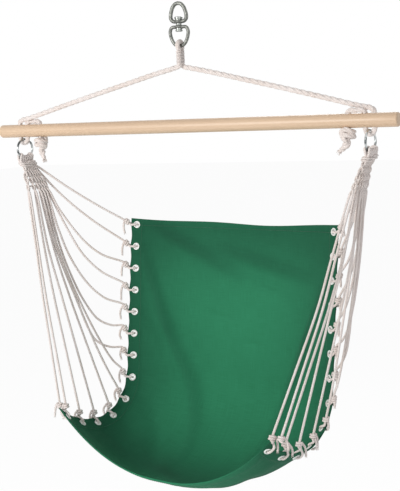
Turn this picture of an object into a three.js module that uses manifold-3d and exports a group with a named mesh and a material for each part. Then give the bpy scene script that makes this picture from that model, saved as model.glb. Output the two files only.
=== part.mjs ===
// Hammock chair: a canvas seat hung by laced cords, two rings and a rope under a wooden spreader bar and a swivel.
// Lengths are in millimetres, +Z is up, +X runs along the spreader bar and the open front of the seat looks along -Y.
// The origin is the inside top of the upper swivel eye, where a hook would bear.
import * as THREE from "three";
import { mergeVertices } from "three/addons/utils/BufferGeometryUtils.js";
import Module from "manifold-3d";

const wasm = await Module();
wasm.setup();

// Clearances
const fit = 0.3;
const cutOverrun = 5;

// Swivel
const upperEyeWire = 8.6;
const upperEyeWidth = 39.4;
const upperEyeHeight = 39.6;
const eyeTaperShare = 0.1;
const eyeSteps = 20;
const wireSides = 8;
const bossRadius = 8.4;
const upperBossHeight = 8;
const swivelNeckGap = 3.4;
const pinRadius = 4;
const pinHeadRadius = 9.3;
const pinHeadHeight = 6.2;
const pinCollarRadius = 6;
const pinTailRadius = 8;
const pinTailHeight = 7.6;
const pinSides = 18;
const lowerEyeWire = 7.4;
const lowerEyeWidth = 45;
const lowerEyeHeight = 41.5;
const lowerBossHeight = 6.8;

// Suspension rope
const ropeRadius = 5.25;
const ropeSides = 8;
const ropeTurn = 0.42;
const ropeLongestStep = 75;
const stopperRadius = 12.5;
const stopperLength = 26;

// Whipping round the two rope legs under the swivel
const whippingCord = 2.5;
const whippingTurns = 9;
const whippingPitch = 3.1;
const whippingSteps = 14;
const windingSides = 5;
const ropeLegOffset = 5.45;

// Spreader bar
const barLength = 1000;
const barRadius = 15;
const barChamfer = 2.5;
const barDrop = 261;
const barSides = 24;
const holeSides = 12;
const ropeHoleFit = 0.9;
const outerHoleFromEnd = 53;
const middleHoleFromEnd = 73;
const knotHoleFromEnd = 111;

// Rings
const ringRadius = 22.5;
const ringWire = 2.5;
const ringBarGap = 2;
const ringSteps = 24;
const ringSides = 6;
const leftRingTurn = THREE.MathUtils.degToRad(12);
const rightRingTurn = THREE.MathUtils.degToRad(4);

// Harness cords: each is doubled over a ring, so it makes two strands
const cordRadius = 2.5;
const cordSides = 6;
const cordsPerSide = 7;
const foldPitch = THREE.MathUtils.degToRad(19);
const foldSqueezeShare = 0.9;
const legOffset = 2.95;
const neckPitch = 5.9;
const neckStart = 28;
const neckLength = 15;
const neckLean = 9;
const headerLength = 75;
const leftHeaderLean = 39;
const leftHeaderBack = 31;
const leftHeaderInward = -23;
const leftHeaderWidth = 47;
const rightHeaderLean = 17;
const rightHeaderBack = 4;
const rightHeaderInward = 8;
const rightHeaderWidth = 52;
const knotRadius = 5.8;
const knotLength = 11;
const knotReach = 26;
const rightSagShare = 0.8;
const tailLength = 28;
const cordTurn = 0.2;
const cordLongestStep = 130;

// Neck bindings
const bindingCord = 4.2;
const bindingReach = 1.5;
const bindingTurns = 2;
const bindingPitch = 4.7;
const bindingSteps = 12;

// Seat cloth
const seatWidth = 589;
const seatTopBehind = 145;
const seatTopDrop = 483;
const backLength = 363;
const backLean = THREE.MathUtils.degToRad(7.4);
const seatBendRadius = 108;
const frontBendRadius = 190;
const frontRise = THREE.MathUtils.degToRad(42);
const topBulge = 45;
const frontBulge = 126;
const bulgeGrowth = 1.5;
const bulgeFlatness = 2.3;
const seatTurn = THREE.MathUtils.degToRad(-9);
const seatSideways = 20;
const seatForward = 35;
const clothThickness = 1.6;
const hemThickness = 2.8;
const acrossSteps = 6;
const foldDepth = 7;

// Eyelets
const eyeletsPerSide = 13;
const eyeletBore = 5.2;
const eyeletBarrel = 6.2;
const eyeletFlange = 9;
const eyeletFlangeThickness = 1.1;
const eyeletClothFit = 0.7;
const eyeletSides = 8;
const punchSides = 6;
const eyeletFromHem = 15;
const eyeletFromEdge = 14;

const material = (color, roughness, metalness = 0) =>
  new THREE.MeshStandardMaterial({ color, roughness, metalness });
const steel = material(0x8d928c, 0.35, 0.9);
const ringSteel = material(0xc9ccca, 0.2, 1);
const wood = material(0xe3c9a2, 0.6);
const cotton = material(0xe9ddd5, 0.9);
const canvas = material(0x2c7050, 0.85);
const eyeletWhite = material(0xe8ece6, 0.4);

const down = new THREE.Vector3(0, 0, -1);
const at = (x, y, z) => new THREE.Vector3(x, y, z);
const along = (start, ...moves) => {
  const point = start.clone();
  for (const [direction, amount] of moves) point.addScaledVector(direction, amount);
  return point;
};

// Places that several pieces share
const swivelWireZ =
  -(upperEyeHeight - upperEyeWire) - upperBossHeight - swivelNeckGap - lowerEyeHeight - lowerEyeWire / 2 + fit;
const barZ = -barDrop;
const ringTopZ = barZ - barRadius - ringBarGap - ringWire;
const ringCentreZ = ringTopZ - ringRadius;
const loopBottomZ = ringTopZ - ringWire - fit - ropeRadius;
const outerHoleX = barLength / 2 - outerHoleFromEnd;
const middleHoleX = barLength / 2 - middleHoleFromEnd;
const knotHoleX = barLength / 2 - knotHoleFromEnd;
const ringX = (outerHoleX + middleHoleX) / 2;

// Solids and booleans

function solidFrom(geometry) {
  const bare = geometry.clone();
  bare.deleteAttribute("normal");
  bare.deleteAttribute("uv");
  const merged = mergeVertices(bare, 1e-3);
  return new wasm.Manifold(
    new wasm.Mesh({
      numProp: 3,
      vertProperties: new Float32Array(merged.attributes.position.array),
      triVerts: new Uint32Array(merged.index.array),
    }),
  );
}

function geometryFrom(solid) {
  const mesh = solid.getMesh();
  return new THREE.BufferGeometry()
    .setAttribute("position", new THREE.BufferAttribute(new Float32Array(mesh.vertProperties), mesh.numProp))
    .setIndex(new THREE.BufferAttribute(new Uint32Array(mesh.triVerts), 1));
}

function geometryOf(positions, faces) {
  return new THREE.BufferGeometry()
    .setAttribute("position", new THREE.Float32BufferAttribute(positions, 3))
    .setIndex(faces);
}

// Rings of points round a path, joined into one tube. Bends are mitred so that the tube keeps its width.
function tube(points, radiusOf, sides, closed = false) {
  const count = points.length;
  const positions = [];
  const faces = [];
  const step = (i) => (closed ? (i + count) % count : THREE.MathUtils.clamp(i, 0, count - 1));
  const into = (i) => points[i].clone().sub(points[step(i - 1)]).normalize();
  const outOf = (i) => points[step(i + 1)].clone().sub(points[i]).normalize();
  const normal = new THREE.Vector3(0.31, 0.17, 0.93);
  for (let i = 0; i < count; i++) {
    const before = into(i);
    const after = outOf(i);
    const tangent = before.clone().add(after).normalize();
    const bend = after.clone().sub(before);
    const halfCosine = Math.max(before.lengthSq() && after.lengthSq() ? tangent.dot(after) : 1, 0.7);
    bend.addScaledVector(tangent, -bend.dot(tangent)).normalize();
    normal.addScaledVector(tangent, -normal.dot(tangent)).normalize();
    const binormal = tangent.clone().cross(normal);
    for (let k = 0; k < sides; k++) {
      const angle = (2 * Math.PI * k) / sides;
      const offset = along(at(0, 0, 0), [normal, Math.cos(angle)], [binormal, Math.sin(angle)]);
      offset.addScaledVector(bend, offset.dot(bend) * (1 / halfCosine - 1));
      positions.push(...along(points[i], [offset, radiusOf(i)]).toArray());
    }
  }
  const rows = closed ? count : count - 1;
  for (let i = 0; i < rows; i++)
    for (let k = 0; k < sides; k++) {
      const a = i * sides + k;
      const b = i * sides + ((k + 1) % sides);
      const c = (((i + 1) % count) * sides) + k;
      const d = (((i + 1) % count) * sides) + ((k + 1) % sides);
      faces.push(a, b, d, a, d, c);
    }
  if (!closed) {
    const last = (count - 1) * sides;
    for (let k = 1; k < sides - 1; k++) faces.push(0, k + 1, k, last, last + k, last + k + 1);
  }
  return geometryOf(positions, faces);
}

// Points of a smooth route through hand-placed points, kept only where it turns or runs long.
function smoothRoute(controls, turn, longest) {
  const curve = new THREE.CatmullRomCurve3(controls, false, "centripetal");
  const fine = curve.getPoints((controls.length - 1) * 10);
  const kept = [fine[0]];
  let turned = 0;
  let run = 0;
  for (let i = 1; i < fine.length - 1; i++) {
    const before = fine[i].clone().sub(fine[i - 1]);
    const after = fine[i + 1].clone().sub(fine[i]);
    turned += before.angleTo(after);
    run += before.length();
    if (turned < turn && run < longest) continue;
    kept.push(fine[i]);
    turned = 0;
    run = 0;
  }
  kept.push(fine[fine.length - 1]);
  return kept;
}

// Widens a tube along one stretch, as a knot does, by points put into the route.
function withKnot(route, centre, direction, radius, length, bodyRadius) {
  const shares = [-0.5, -0.2, 0.2, 0.5];
  for (const share of shares) {
    route.points.push(along(centre, [direction, share * length]));
    route.radii.push(Math.abs(share) < 0.5 ? radius : bodyRadius);
  }
}

// The least gap between turns of one winding, measured between its own points.
function printLeastGap(name, points, width, stepsPerTurn) {
  let least = Infinity;
  for (let i = 0; i < points.length; i++)
    for (let j = i + Math.ceil(stepsPerTurn / 2); j < points.length; j++)
      least = Math.min(least, points[i].distanceTo(points[j]) - width);
  console.log(name + " least gap to itself " + least.toFixed(2) + " mm");
}

// A winding round a long core: a tube that climbs steadily as it goes round.
function windingPoints(halfLong, halfShort, turns, pitch, steps) {
  const points = [];
  const straight = halfLong - halfShort;
  for (let i = 0; i <= turns * steps; i++) {
    const angle = (2 * Math.PI * i) / steps;
    const end = Math.abs(Math.sin(angle)) < 1e-6 ? 0 : Math.sign(Math.sin(angle));
    points.push(at(halfShort * Math.cos(angle), halfShort * Math.sin(angle) + straight * end, -(pitch * i) / steps));
  }
  return points;
}

// Swivel

function eyeLoop(outline, wire) {
  const curve = new THREE.CatmullRomCurve3(outline, true, "centripetal");
  return solidFrom(tube(curve.getPoints(outline.length * 2).slice(0, -1), () => wire / 2, wireSides, true));
}

function upright(radius, height, topZ, sides) {
  return new THREE.CylinderGeometry(radius, radius, height, sides).rotateX(Math.PI / 2).translate(0, 0, topZ - height / 2);
}

function upperEye() {
  const centreZ = (upperEyeWire - upperEyeHeight) / 2;
  const outline = [];
  for (let i = 0; i < eyeSteps / 2; i++) {
    const angle = (4 * Math.PI * i) / eyeSteps;
    const width = (upperEyeWidth / 2) * (1 - eyeTaperShare * Math.cos(angle));
    outline.push(at(width * Math.sin(angle), 0, centreZ + (upperEyeHeight / 2) * Math.cos(angle)));
  }
  const baseZ = -(upperEyeHeight - upperEyeWire);
  const hole = upright(pinRadius + fit, upperBossHeight + 2 * cutOverrun, baseZ + cutOverrun, pinSides);
  const seatForHead = upright(pinHeadRadius + fit, pinHeadHeight, baseZ + pinHeadHeight, pinSides);
  return geometryFrom(
    eyeLoop(outline, upperEyeWire)
      .add(solidFrom(upright(bossRadius, upperBossHeight, baseZ, pinSides)))
      .subtract(solidFrom(hole))
      .subtract(solidFrom(seatForHead)),
  );
}

const upperBossBottom = -(upperEyeHeight - upperEyeWire) - upperBossHeight;
const lowerBossTop = upperBossBottom - swivelNeckGap;

function lowerEye() {
  const topZ = lowerBossTop - lowerEyeWire / 2;
  const half = lowerEyeWidth / 2;
  const drop = topZ - swivelWireZ;
  const shares = [
    [0.2, 0],
    [0.84, 0.07],
    [1, 0.24],
    [0.76, 0.62],
    [0.47, 0.91],
    [0.2, 1],
  ];
  const right = shares.map(([width, fall]) => at(half * width, 0, topZ - drop * fall));
  const left = right.map((p) => at(-p.x, p.y, p.z)).reverse();
  const hole = upright(pinRadius + fit, lowerBossHeight + 2 * cutOverrun, lowerBossTop + cutOverrun, pinSides);
  const seatForTail = upright(pinTailRadius + fit, pinTailHeight, lowerBossTop - lowerBossHeight, pinSides);
  return geometryFrom(
    eyeLoop([...right, ...left], lowerEyeWire)
      .add(solidFrom(upright(bossRadius, lowerBossHeight, lowerBossTop, pinSides)))
      .subtract(solidFrom(hole))
      .subtract(solidFrom(seatForTail)),
  );
}

// The pin's head sits in the upper eye and its riveted tail under the lower eye's boss.
function swivelPin() {
  const headZ = -(upperEyeHeight - upperEyeWire) + fit;
  const collarTop = upperBossBottom - fit;
  const collarBottom = lowerBossTop + fit;
  const tailZ = lowerBossTop - lowerBossHeight - fit;
  const chamfer = pinHeadHeight / 4;
  const profile = [
    [0, tailZ - pinTailHeight],
    [pinTailRadius - chamfer, tailZ - pinTailHeight],
    [pinTailRadius, tailZ - pinTailHeight + chamfer],
    [pinTailRadius, tailZ],
    [pinRadius, tailZ],
    [pinRadius, collarBottom],
    [pinCollarRadius, collarBottom],
    [pinCollarRadius, collarTop],
    [pinRadius, collarTop],
    [pinRadius, headZ],
    [pinHeadRadius, headZ],
    [pinHeadRadius, headZ + pinHeadHeight - chamfer],
    [pinHeadRadius - chamfer, headZ + pinHeadHeight],
    [0, headZ + pinHeadHeight],
  ].map(([r, z]) => new THREE.Vector2(r, z));
  return new THREE.LatheGeometry(profile, pinSides).rotateX(Math.PI / 2);
}

// Suspension rope: hand-placed points of its right half, from the top of the swivel loop to the bar
const ropeLegRoute = [
  [0, 0, -77.9],
  [0, 6.7, -80.7],
  [0, 9.6, -87.5],
  [0, 8, -92.3],
  [0, 5.7, -96.5],
  [0, 5.45, -104],
  [0, 5.45, -114],
  [0, 5.45, -125],
  [0.8, 5.4, -129],
  [5, 5.3, -132.4],
  [14, 5.1, -134.8],
  [60, 4.8, -144.5],
  [150, 4.5, -166],
  [250, 4.5, -190],
  [350, 4.5, -215],
];

// Its lacing through the bar, with each point's X measured from the ring
const ropeLacingRoute = [
  [-32, 4.5, -229],
  [-12, 4.2, -233.4],
  [0, 2.6, -235.4],
  [7.5, 0.7, -239],
  [9.9, 0, -245.5],
  [10, 0, -253],
  [10, 0, -262],
  [10, 0, -276],
  [8.8, 0, -283.4],
  [5.4, 0, -287.6],
  [0, 0, -288.9],
  [-5.4, 0, -287.6],
  [-8.8, 0, -283.4],
  [-10, 0, -276],
  [-10, 0, -262],
  [-10, 0, -249.5],
  [-10.8, -1, -243],
  [-15, -3.8, -239.8],
  [-22, -4.8, -239.5],
  [-30, -4.8, -239.5],
  [-40, -3.2, -239.6],
  [-46.4, -0.5, -242.6],
  [-48, 0, -249.5],
  [-48, 0, -262],
  [-48, 0, -276.5],
];
const stopperTail = [
  [-48.4, 0.6, -312],
  [-49.4, 2, -324],
  [-52, 3.5, -340],
];

function suspensionRope() {
  const half = (side) => {
    const place = ([x, y, z]) => at(side * x, side * y, z);
    const placeAtRing = ([x, y, z]) => place([ringX + x, y, z]);
    const controls = [...ropeLegRoute.map(place), ...ropeLacingRoute.map(placeAtRing)];
    const points = smoothRoute(controls, ropeTurn, ropeLongestStep);
    const route = { points, radii: points.map(() => ropeRadius) };
    const knotAt = place([knotHoleX, 0, barZ - barRadius - fit - stopperLength / 2 - ropeRadius / 2]);
    withKnot(route, knotAt, down, stopperRadius, stopperLength, ropeRadius);
    for (const tail of stopperTail) {
      route.points.push(placeAtRing(tail));
      route.radii.push(ropeRadius);
    }
    return route;
  };
  const right = half(1);
  const left = half(-1);
  const points = [...left.points.slice(1).reverse(), ...right.points];
  const radii = [...left.radii.slice(1).reverse(), ...right.radii];
  return tube(points, (i) => radii[i], ropeSides);
}

function ropeWhipping() {
  const wrap = ropeRadius + 2 * fit + whippingCord / 2;
  const points = windingPoints(ropeLegOffset + wrap, wrap, whippingTurns, whippingPitch, whippingSteps);
  const topZ = swivelWireZ - lowerEyeWire - 2 * fit - whippingCord;
  const placed = points.map((p) => p.add(at(0, 0, topZ)));
  printLeastGap("whipping", placed, whippingCord, whippingSteps);
  return tube(placed, () => whippingCord / 2, windingSides);
}

// Spreader bar with three rope holes near each end

function spreaderBar() {
  const half = barLength / 2;
  const profile = [
    [0, -half],
    [barRadius - barChamfer, -half],
    [barRadius, -half + barChamfer],
    [barRadius, half - barChamfer],
    [barRadius - barChamfer, half],
    [0, half],
  ].map(([r, y]) => new THREE.Vector2(r, y));
  const rod = new THREE.LatheGeometry(profile, barSides).rotateZ(-Math.PI / 2).translate(0, 0, barZ);
  const drill = 2 * (barRadius + cutOverrun);
  let solid = solidFrom(rod);
  for (const side of [-1, 1])
    for (const x of [outerHoleX, middleHoleX, knotHoleX]) {
      const hole = upright(ropeRadius + ropeHoleFit, drill, barZ + drill / 2, holeSides);
      solid = solid.subtract(solidFrom(hole.translate(side * x, 0, 0)));
    }
  return geometryFrom(solid);
}

// Rings

const ringTurnOf = (side) => (side < 0 ? leftRingTurn : rightRingTurn);

function ring(side) {
  const geometry = new THREE.TorusGeometry(ringRadius, ringWire, ringSides, ringSteps);
  return geometry.rotateY(Math.PI / 2).rotateZ(-ringTurnOf(side)).translate(side * ringX, 0, ringCentreZ);
}

// A point given in a ring's own frame: across the ring's plane, along the bar's side of it, and height.
function fromRing(side, across, backward, z) {
  return at(across, backward, 0)
    .applyAxisAngle(at(0, 0, 1), -ringTurnOf(side))
    .add(at(side * ringX, 0, z));
}

// Seat cloth: its side edge in the plane across the bar, by distance from the top hem

const seatBendLength = seatBendRadius * (Math.PI / 2 - backLean);
const seatLength = backLength + seatBendLength + frontBendRadius * frontRise;

function edgeAt(distance) {
  let heading = backLean;
  let y = seatTopBehind;
  let z = -seatTopDrop;
  const straight = Math.min(distance, backLength);
  y -= straight * Math.sin(heading);
  z -= straight * Math.cos(heading);
  const bends = [
    [seatBendRadius, Math.min(Math.max(distance - backLength, 0), seatBendLength)],
    [frontBendRadius, Math.max(distance - backLength - seatBendLength, 0)],
  ];
  for (const [radius, run] of bends) {
    const next = heading + run / radius;
    y -= radius * (Math.cos(heading) - Math.cos(next));
    z -= radius * (Math.sin(next) - Math.sin(heading));
    heading = next;
  }
  return { y, z, heading };
}

// The seat hangs turned a little about the vertical and not quite under the middle of the bar.
function turned(point) {
  return point.clone().applyAxisAngle(at(0, 0, 1), seatTurn).add(at(seatSideways, -seatForward, 0));
}

// Main folds of the hanging cloth: where each starts and ends, down the length and across the width
const foldShares = [
  { start: [0.02, -0.9], end: [0.4, -0.1], width: 0.09, depth: 1 },
  { start: [0.2, -0.95], end: [0.62, -0.25], width: 0.1, depth: 0.8 },
  { start: [0.1, 0.92], end: [0.6, 0.62], width: 0.1, depth: -1 },
  { start: [0.42, 0.9], end: [0.86, 0.3], width: 0.1, depth: 0.9 },
  { start: [0.5, -0.7], end: [0.95, 0.1], width: 0.12, depth: -0.7 },
];

function foldAt(lengthShare, widthShare) {
  let depth = 0;
  for (const fold of foldShares) {
    const run = new THREE.Vector2(fold.end[0] - fold.start[0], fold.end[1] - fold.start[1]);
    const here = new THREE.Vector2(lengthShare - fold.start[0], widthShare - fold.start[1]);
    const share = here.dot(run) / run.lengthSq();
    const aside = Math.abs(here.cross(run)) / run.length();
    const fade = Math.max(0, 1 - (2 * share - 1) ** 2);
    depth += fold.depth * fade * Math.exp(-((aside / fold.width) ** 2));
  }
  return foldDepth * depth * (1 - widthShare ** 8);
}

function clothPoint(distance, widthShare) {
  const { y, z, heading } = edgeAt(distance);
  const lengthShare = distance / seatLength;
  const bulge = topBulge + (frontBulge - topBulge) * lengthShare ** bulgeGrowth;
  const facing = Math.min(heading, Math.PI / 2);
  const depth = bulge * (1 - Math.abs(widthShare) ** bulgeFlatness) + foldAt(lengthShare, widthShare);
  return turned(at((seatWidth / 2) * widthShare, y + depth * Math.cos(facing), z - depth * Math.sin(facing)));
}

const eyeletPitch = (seatLength - 2 * eyeletFromHem) / (eyeletsPerSide - 1);
const eyeletDistance = (index) => eyeletFromHem + index * eyeletPitch;
const eyeletFlat = eyeletFlange + cutOverrun / 2;

// Grid lines leave a flat facet round each eyelet.
function clothRows() {
  const rows = [0];
  for (let i = 0; i < eyeletsPerSide; i++) rows.push(eyeletDistance(i) - eyeletFlat, eyeletDistance(i) + eyeletFlat);
  rows.push(seatLength);
  return rows;
}

function clothColumns() {
  const flatShare = 1 - (4 * eyeletFromEdge) / seatWidth;
  const columns = [-1];
  for (let i = 0; i <= acrossSteps; i++) columns.push(flatShare * ((2 * i) / acrossSteps - 1));
  columns.push(1);
  return columns;
}

// An eyelet's place: centre on its facet, outward along the cloth, and the normal on the sitter's side
function eyeletFrame(side, index) {
  const rows = [eyeletDistance(index) - eyeletFlat, eyeletDistance(index) + eyeletFlat];
  const columns = clothColumns();
  const inner = columns[1];
  const corner = (row, share) => clothPoint(rows[row], side * share);
  const outerMiddle = corner(0, 1).add(corner(1, 1)).multiplyScalar(1 / 2);
  const innerMiddle = corner(0, -inner).add(corner(1, -inner)).multiplyScalar(1 / 2);
  const outward = outerMiddle.clone().sub(innerMiddle).normalize();
  const lengthwise = corner(1, 1).sub(corner(0, 1)).add(corner(1, -inner)).sub(corner(0, -inner));
  const normal = lengthwise.cross(outward).multiplyScalar(side).normalize();
  const centre = outerMiddle.clone().add(innerMiddle).multiplyScalar(1 / 2);
  return { centre, outward, normal, reach: outerMiddle.distanceTo(centre) };
}

function turnedTo(geometry, frame) {
  const turn = new THREE.Quaternion().setFromUnitVectors(at(0, 0, 1), frame.normal);
  return geometry.applyQuaternion(turn).translate(frame.centre.x, frame.centre.y, frame.centre.z);
}

function seatCloth() {
  const rows = clothRows();
  const columns = clothColumns();
  const wide = columns.length;
  const middle = rows.map((row) => columns.map((column) => clothPoint(row, column)));
  const pick = (i, j) =>
    middle[THREE.MathUtils.clamp(i, 0, rows.length - 1)][THREE.MathUtils.clamp(j, 0, wide - 1)];
  const positions = [];
  for (const face of [1, -1])
    for (let i = 0; i < rows.length; i++)
      for (let j = 0; j < wide; j++) {
        const lengthwise = pick(i + 1, j).clone().sub(pick(i - 1, j));
        const across = pick(i, j + 1).clone().sub(pick(i, j - 1));
        const normal = across.cross(lengthwise).normalize();
        const hem = j < 2 || j > wide - 3 || i < 2 || i > rows.length - 3;
        const half = (hem ? hemThickness : clothThickness) / 2;
        positions.push(...along(middle[i][j], [normal, face * half]).toArray());
      }
  const faces = [];
  const back = rows.length * wide;
  const quad = (a, b, c, d) => faces.push(a, b, c, a, c, d);
  for (let i = 0; i < rows.length - 1; i++)
    for (let j = 0; j < wide - 1; j++) {
      const a = i * wide + j;
      quad(a, a + 1, a + wide + 1, a + wide);
      quad(back + a, back + a + wide, back + a + wide + 1, back + a + 1);
    }
  for (let i = 0; i < rows.length - 1; i++) {
    const a = i * wide;
    const b = a + wide - 1;
    quad(a, a + wide, back + a + wide, back + a);
    quad(b, back + b, back + b + wide, b + wide);
  }
  for (let j = 0; j < wide - 1; j++) {
    const a = (rows.length - 1) * wide + j;
    quad(j, back + j, back + j + 1, j + 1);
    quad(a, a + 1, back + a + 1, back + a);
  }
  let solid = solidFrom(geometryOf(positions, faces));
  for (const side of [-1, 1])
    for (let i = 0; i < eyeletsPerSide; i++) {
      const radius = (eyeletBarrel + fit) / Math.cos(Math.PI / punchSides);
      const punch = upright(radius, 2 * cutOverrun, cutOverrun, punchSides);
      solid = solid.subtract(solidFrom(turnedTo(punch, eyeletFrame(side, i))));
    }
  return geometryFrom(solid);
}

function eyelet(side, index) {
  const inner = hemThickness / 2 + eyeletClothFit;
  const outer = inner + eyeletFlangeThickness;
  const profile = [
    [eyeletBore, -outer],
    [eyeletFlange, -inner],
    [eyeletBarrel, -inner],
    [eyeletBarrel, inner],
    [eyeletFlange, inner],
    [eyeletBore, outer],
    [eyeletBore, -outer],
  ].map(([r, z]) => new THREE.Vector2(r, z));
  return turnedTo(new THREE.LatheGeometry(profile, eyeletSides).rotateX(Math.PI / 2), eyeletFrame(side, index));
}

// Harness cords. How far each strand sags: share of the way from the header to its knot, and drop below that line.
const strandSags = [
  [[0.3, 5], [0.65, 5]],
  [[0.28, 14], [0.62, 13]],
  [[0.12, 22], [0.43, 42], [0.67, 34]],
  [[0.22, 36], [0.43, 54], [0.68, 40]],
  [[0.12, 50], [0.27, 82], [0.49, 84], [0.72, 56]],
  [[0.17, 84], [0.3, 108], [0.44, 116], [0.63, 100], [0.82, 52]],
  [[0.15, 78], [0.35, 112], [0.5, 134], [0.62, 123], [0.8, 68]],
  [[0.16, 60], [0.39, 75], [0.69, 58], [0.86, 33]],
  [[0.17, 50], [0.4, 50], [0.72, 36], [0.86, 20]],
  [[0.2, 40], [0.42, 38], [0.62, 26], [0.82, 12]],
  [[0.19, 32], [0.43, 22], [0.72, 9]],
  [[0.19, 32], [0.4, 38], [0.68, 20]],
  [[0.23, 14], [0.42, 30], [0.72, 15]],
  [[0.23, 14], [0.42, 30], [0.72, 15]],
];

const leftHeader = [leftHeaderLean, leftHeaderBack, leftHeaderInward, leftHeaderWidth];
const rightHeader = [rightHeaderLean, rightHeaderBack, rightHeaderInward, rightHeaderWidth];

// Where the header's columns end, from its back edge to its front edge; the first column leaves higher up.
const columnShares = [0, 0, 0.14, 0.28, 0.43, 0.67, 1];

// The neck leans inward and back on its way down.
function neckShift(side, z) {
  const share = THREE.MathUtils.clamp((ringCentreZ - neckStart - z) / neckLength, 0, 1);
  return at(-side * neckLean * share, (neckLean / 2) * share, 0);
}

// How far each end knot is drawn from straight out of its eyelet towards its strand's pull
const knotPullShares = [0.5, 0.45, 0.45, 0.45, 0.45, 0.45, 0.4, 0.4, 0.6, 0.9, 0.9, 0.95, 1];

// Where a column of the header starts under its ring and where its two strands part
function headerColumn(side, column, leg) {
  const middle = (cordsPerSide - 1) / 2;
  const neckZ = ringCentreZ - neckStart;
  const fromMiddle = (middle - column) * neckPitch;
  const neck = (z) => fromRing(side, side * leg * legOffset, fromMiddle, z).add(neckShift(side, z));
  const neckPoints = [neck(neckZ), neck(neckZ - neckLength)];
  if (column === 0) {
    const leave = at(side * (ringX - neckLength), (middle + 1.7) * neckPitch, neckZ - neckLength * 1.45);
    return [...neckPoints, leave.add(at(0, 0, -leg * cordRadius * 1.8))];
  }
  const [lean, back, inward, width] = side < 0 ? leftHeader : rightHeader;
  const first = at(side * (ringX - lean), back, neckZ - headerLength);
  const across = at(-side * inward, -width, 0);
  const thick = at(side * width, -inward, 0).normalize();
  return [...neckPoints, along(first, [across, columnShares[column]], [thick, leg * legOffset])];
}

// The half of a doubled cord from the header to the tail of its end knot
function strandRoute(side, strand, leg) {
  const column = Math.floor(strand / 2);
  const [neckTop, neckEnd, exit] = headerColumn(side, column, leg);
  const shared = strand >= eyeletsPerSide;
  const frame = eyeletFrame(side, Math.min(strand, eyeletsPerSide - 1));
  const pull = exit.clone().sub(frame.centre).normalize();
  const share = knotPullShares[Math.min(strand, eyeletsPerSide - 1)];
  const toKnot = along(at(0, 0, 0), [frame.outward, 1 - share], [pull, share]).normalize();
  let knot = along(frame.centre, [toKnot, knotReach]);
  const fromKnot = exit.clone().sub(knot).normalize();
  const aside = down.clone().add(frame.outward);
  aside.addScaledVector(fromKnot, -aside.dot(fromKnot)).normalize();
  const passing = knotRadius + cordRadius + 2 * fit + hemThickness / 2;
  if (shared) knot = along(knot, [aside, passing + knotRadius + cordRadius + 2 * fit], [fromKnot, knotLength / 2]);
  const run = knot.clone().sub(exit);
  const sagShare = side < 0 ? 1 : rightSagShare;
  const vias = strandSags[strand].map(([share, drop]) => along(exit, [run, share], [down, sagShare * drop]));
  const start = along(knot, [fromKnot, knotLength * 0.7]);
  const points = [neckTop, neckEnd, ...smoothRoute([exit, ...vias, start], cordTurn, cordLongestStep)];
  const route = { points, radii: points.map(() => cordRadius) };
  withKnot(route, knot, fromKnot.clone().negate(), knotRadius, knotLength, cordRadius);
  const push = (...moves) => {
    route.points.push(along(frame.centre, ...moves));
    route.radii.push(cordRadius);
  };
  const { outward, normal, reach } = frame;
  const over = hemThickness / 2 + eyeletClothFit + eyeletFlangeThickness + cordRadius;
  if (!shared) {
    push([outward, reach], [normal, over + fit]);
    push([outward, cordRadius], [normal, over + fit]);
    push([outward, 0]);
    push([outward, cordRadius], [normal, -over - fit]);
    push([outward, reach], [normal, -over - fit]);
  }
  const tail = shared ? cordRadius : passing;
  const from = shared ? along(knot, [fromKnot, -knotLength]) : knot;
  route.points.push(along(from, [aside, tail]));
  route.points.push(along(from, [aside, tail + cordRadius], [down, 2 * cordRadius]));
  route.points.push(along(from, [aside, tail + cordRadius], [down, tailLength]));
  route.radii.push(cordRadius, cordRadius, cordRadius);
  return route;
}

// Where a doubled cord folds over its ring, in the order from one strand to the other
function foldPoints(side, column) {
  const tilt = ((cordsPerSide - 1) / 2 - column) * foldPitch;
  const reach = ringWire + cordRadius + 2 * fit;
  const points = [];
  for (const share of [-1, -0.55, 0, 0.55, 1]) {
    const angle = (share * Math.PI) / 2;
    const radius = ringRadius - reach * Math.cos(angle);
    points.push(
      fromRing(side, side * reach * Math.sin(angle), radius * Math.sin(tilt), ringCentreZ - radius * Math.cos(tilt)),
    );
  }
  return points;
}

function harnessCord(side, column) {
  const first = strandRoute(side, 2 * column, -1);
  const second = strandRoute(side, 2 * column + 1, 1);
  const fold = foldPoints(side, column);
  const points = [...first.points.reverse(), ...fold, ...second.points];
  const radii = [...first.radii.reverse(), ...fold.map(() => cordRadius * foldSqueezeShare), ...second.radii];
  return tube(points, (i) => radii[i], cordSides);
}

function neckBinding(side, name) {
  const wrap = legOffset + cordRadius + 6 * fit + bindingCord / 2;
  const halfLong = ((cordsPerSide - 1) / 2) * neckPitch + wrap + bindingReach;
  const startZ = ringCentreZ - neckStart - fit - bindingCord / 2;
  const points = windingPoints(halfLong, wrap, bindingTurns, bindingPitch, bindingSteps);
  const placed = points.map((p) => {
    const z = startZ + p.z;
    return fromRing(side, p.x, p.y, z).add(neckShift(side, z));
  });
  printLeastGap(name, placed, bindingCord, bindingSteps);
  return tube(placed, () => bindingCord / 2, windingSides);
}

// The chair as a scene
const chair = new THREE.Group();
const add = (name, geometry, finish, parent = chair) => {
  const mesh = new THREE.Mesh(geometry, finish);
  mesh.name = name;
  parent.add(mesh);
};

const swivel = new THREE.Group();
add("swivel_upper_eye", upperEye(), steel, swivel);
add("swivel_lower_eye", lowerEye(), steel, swivel);
add("swivel_pin", swivelPin(), steel, swivel);

const hanger = new THREE.Group();
add("suspension_rope", suspensionRope(), cotton, hanger);
add("rope_whipping", ropeWhipping(), cotton, hanger);
add("spreader_bar", spreaderBar(), wood, hanger);

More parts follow.
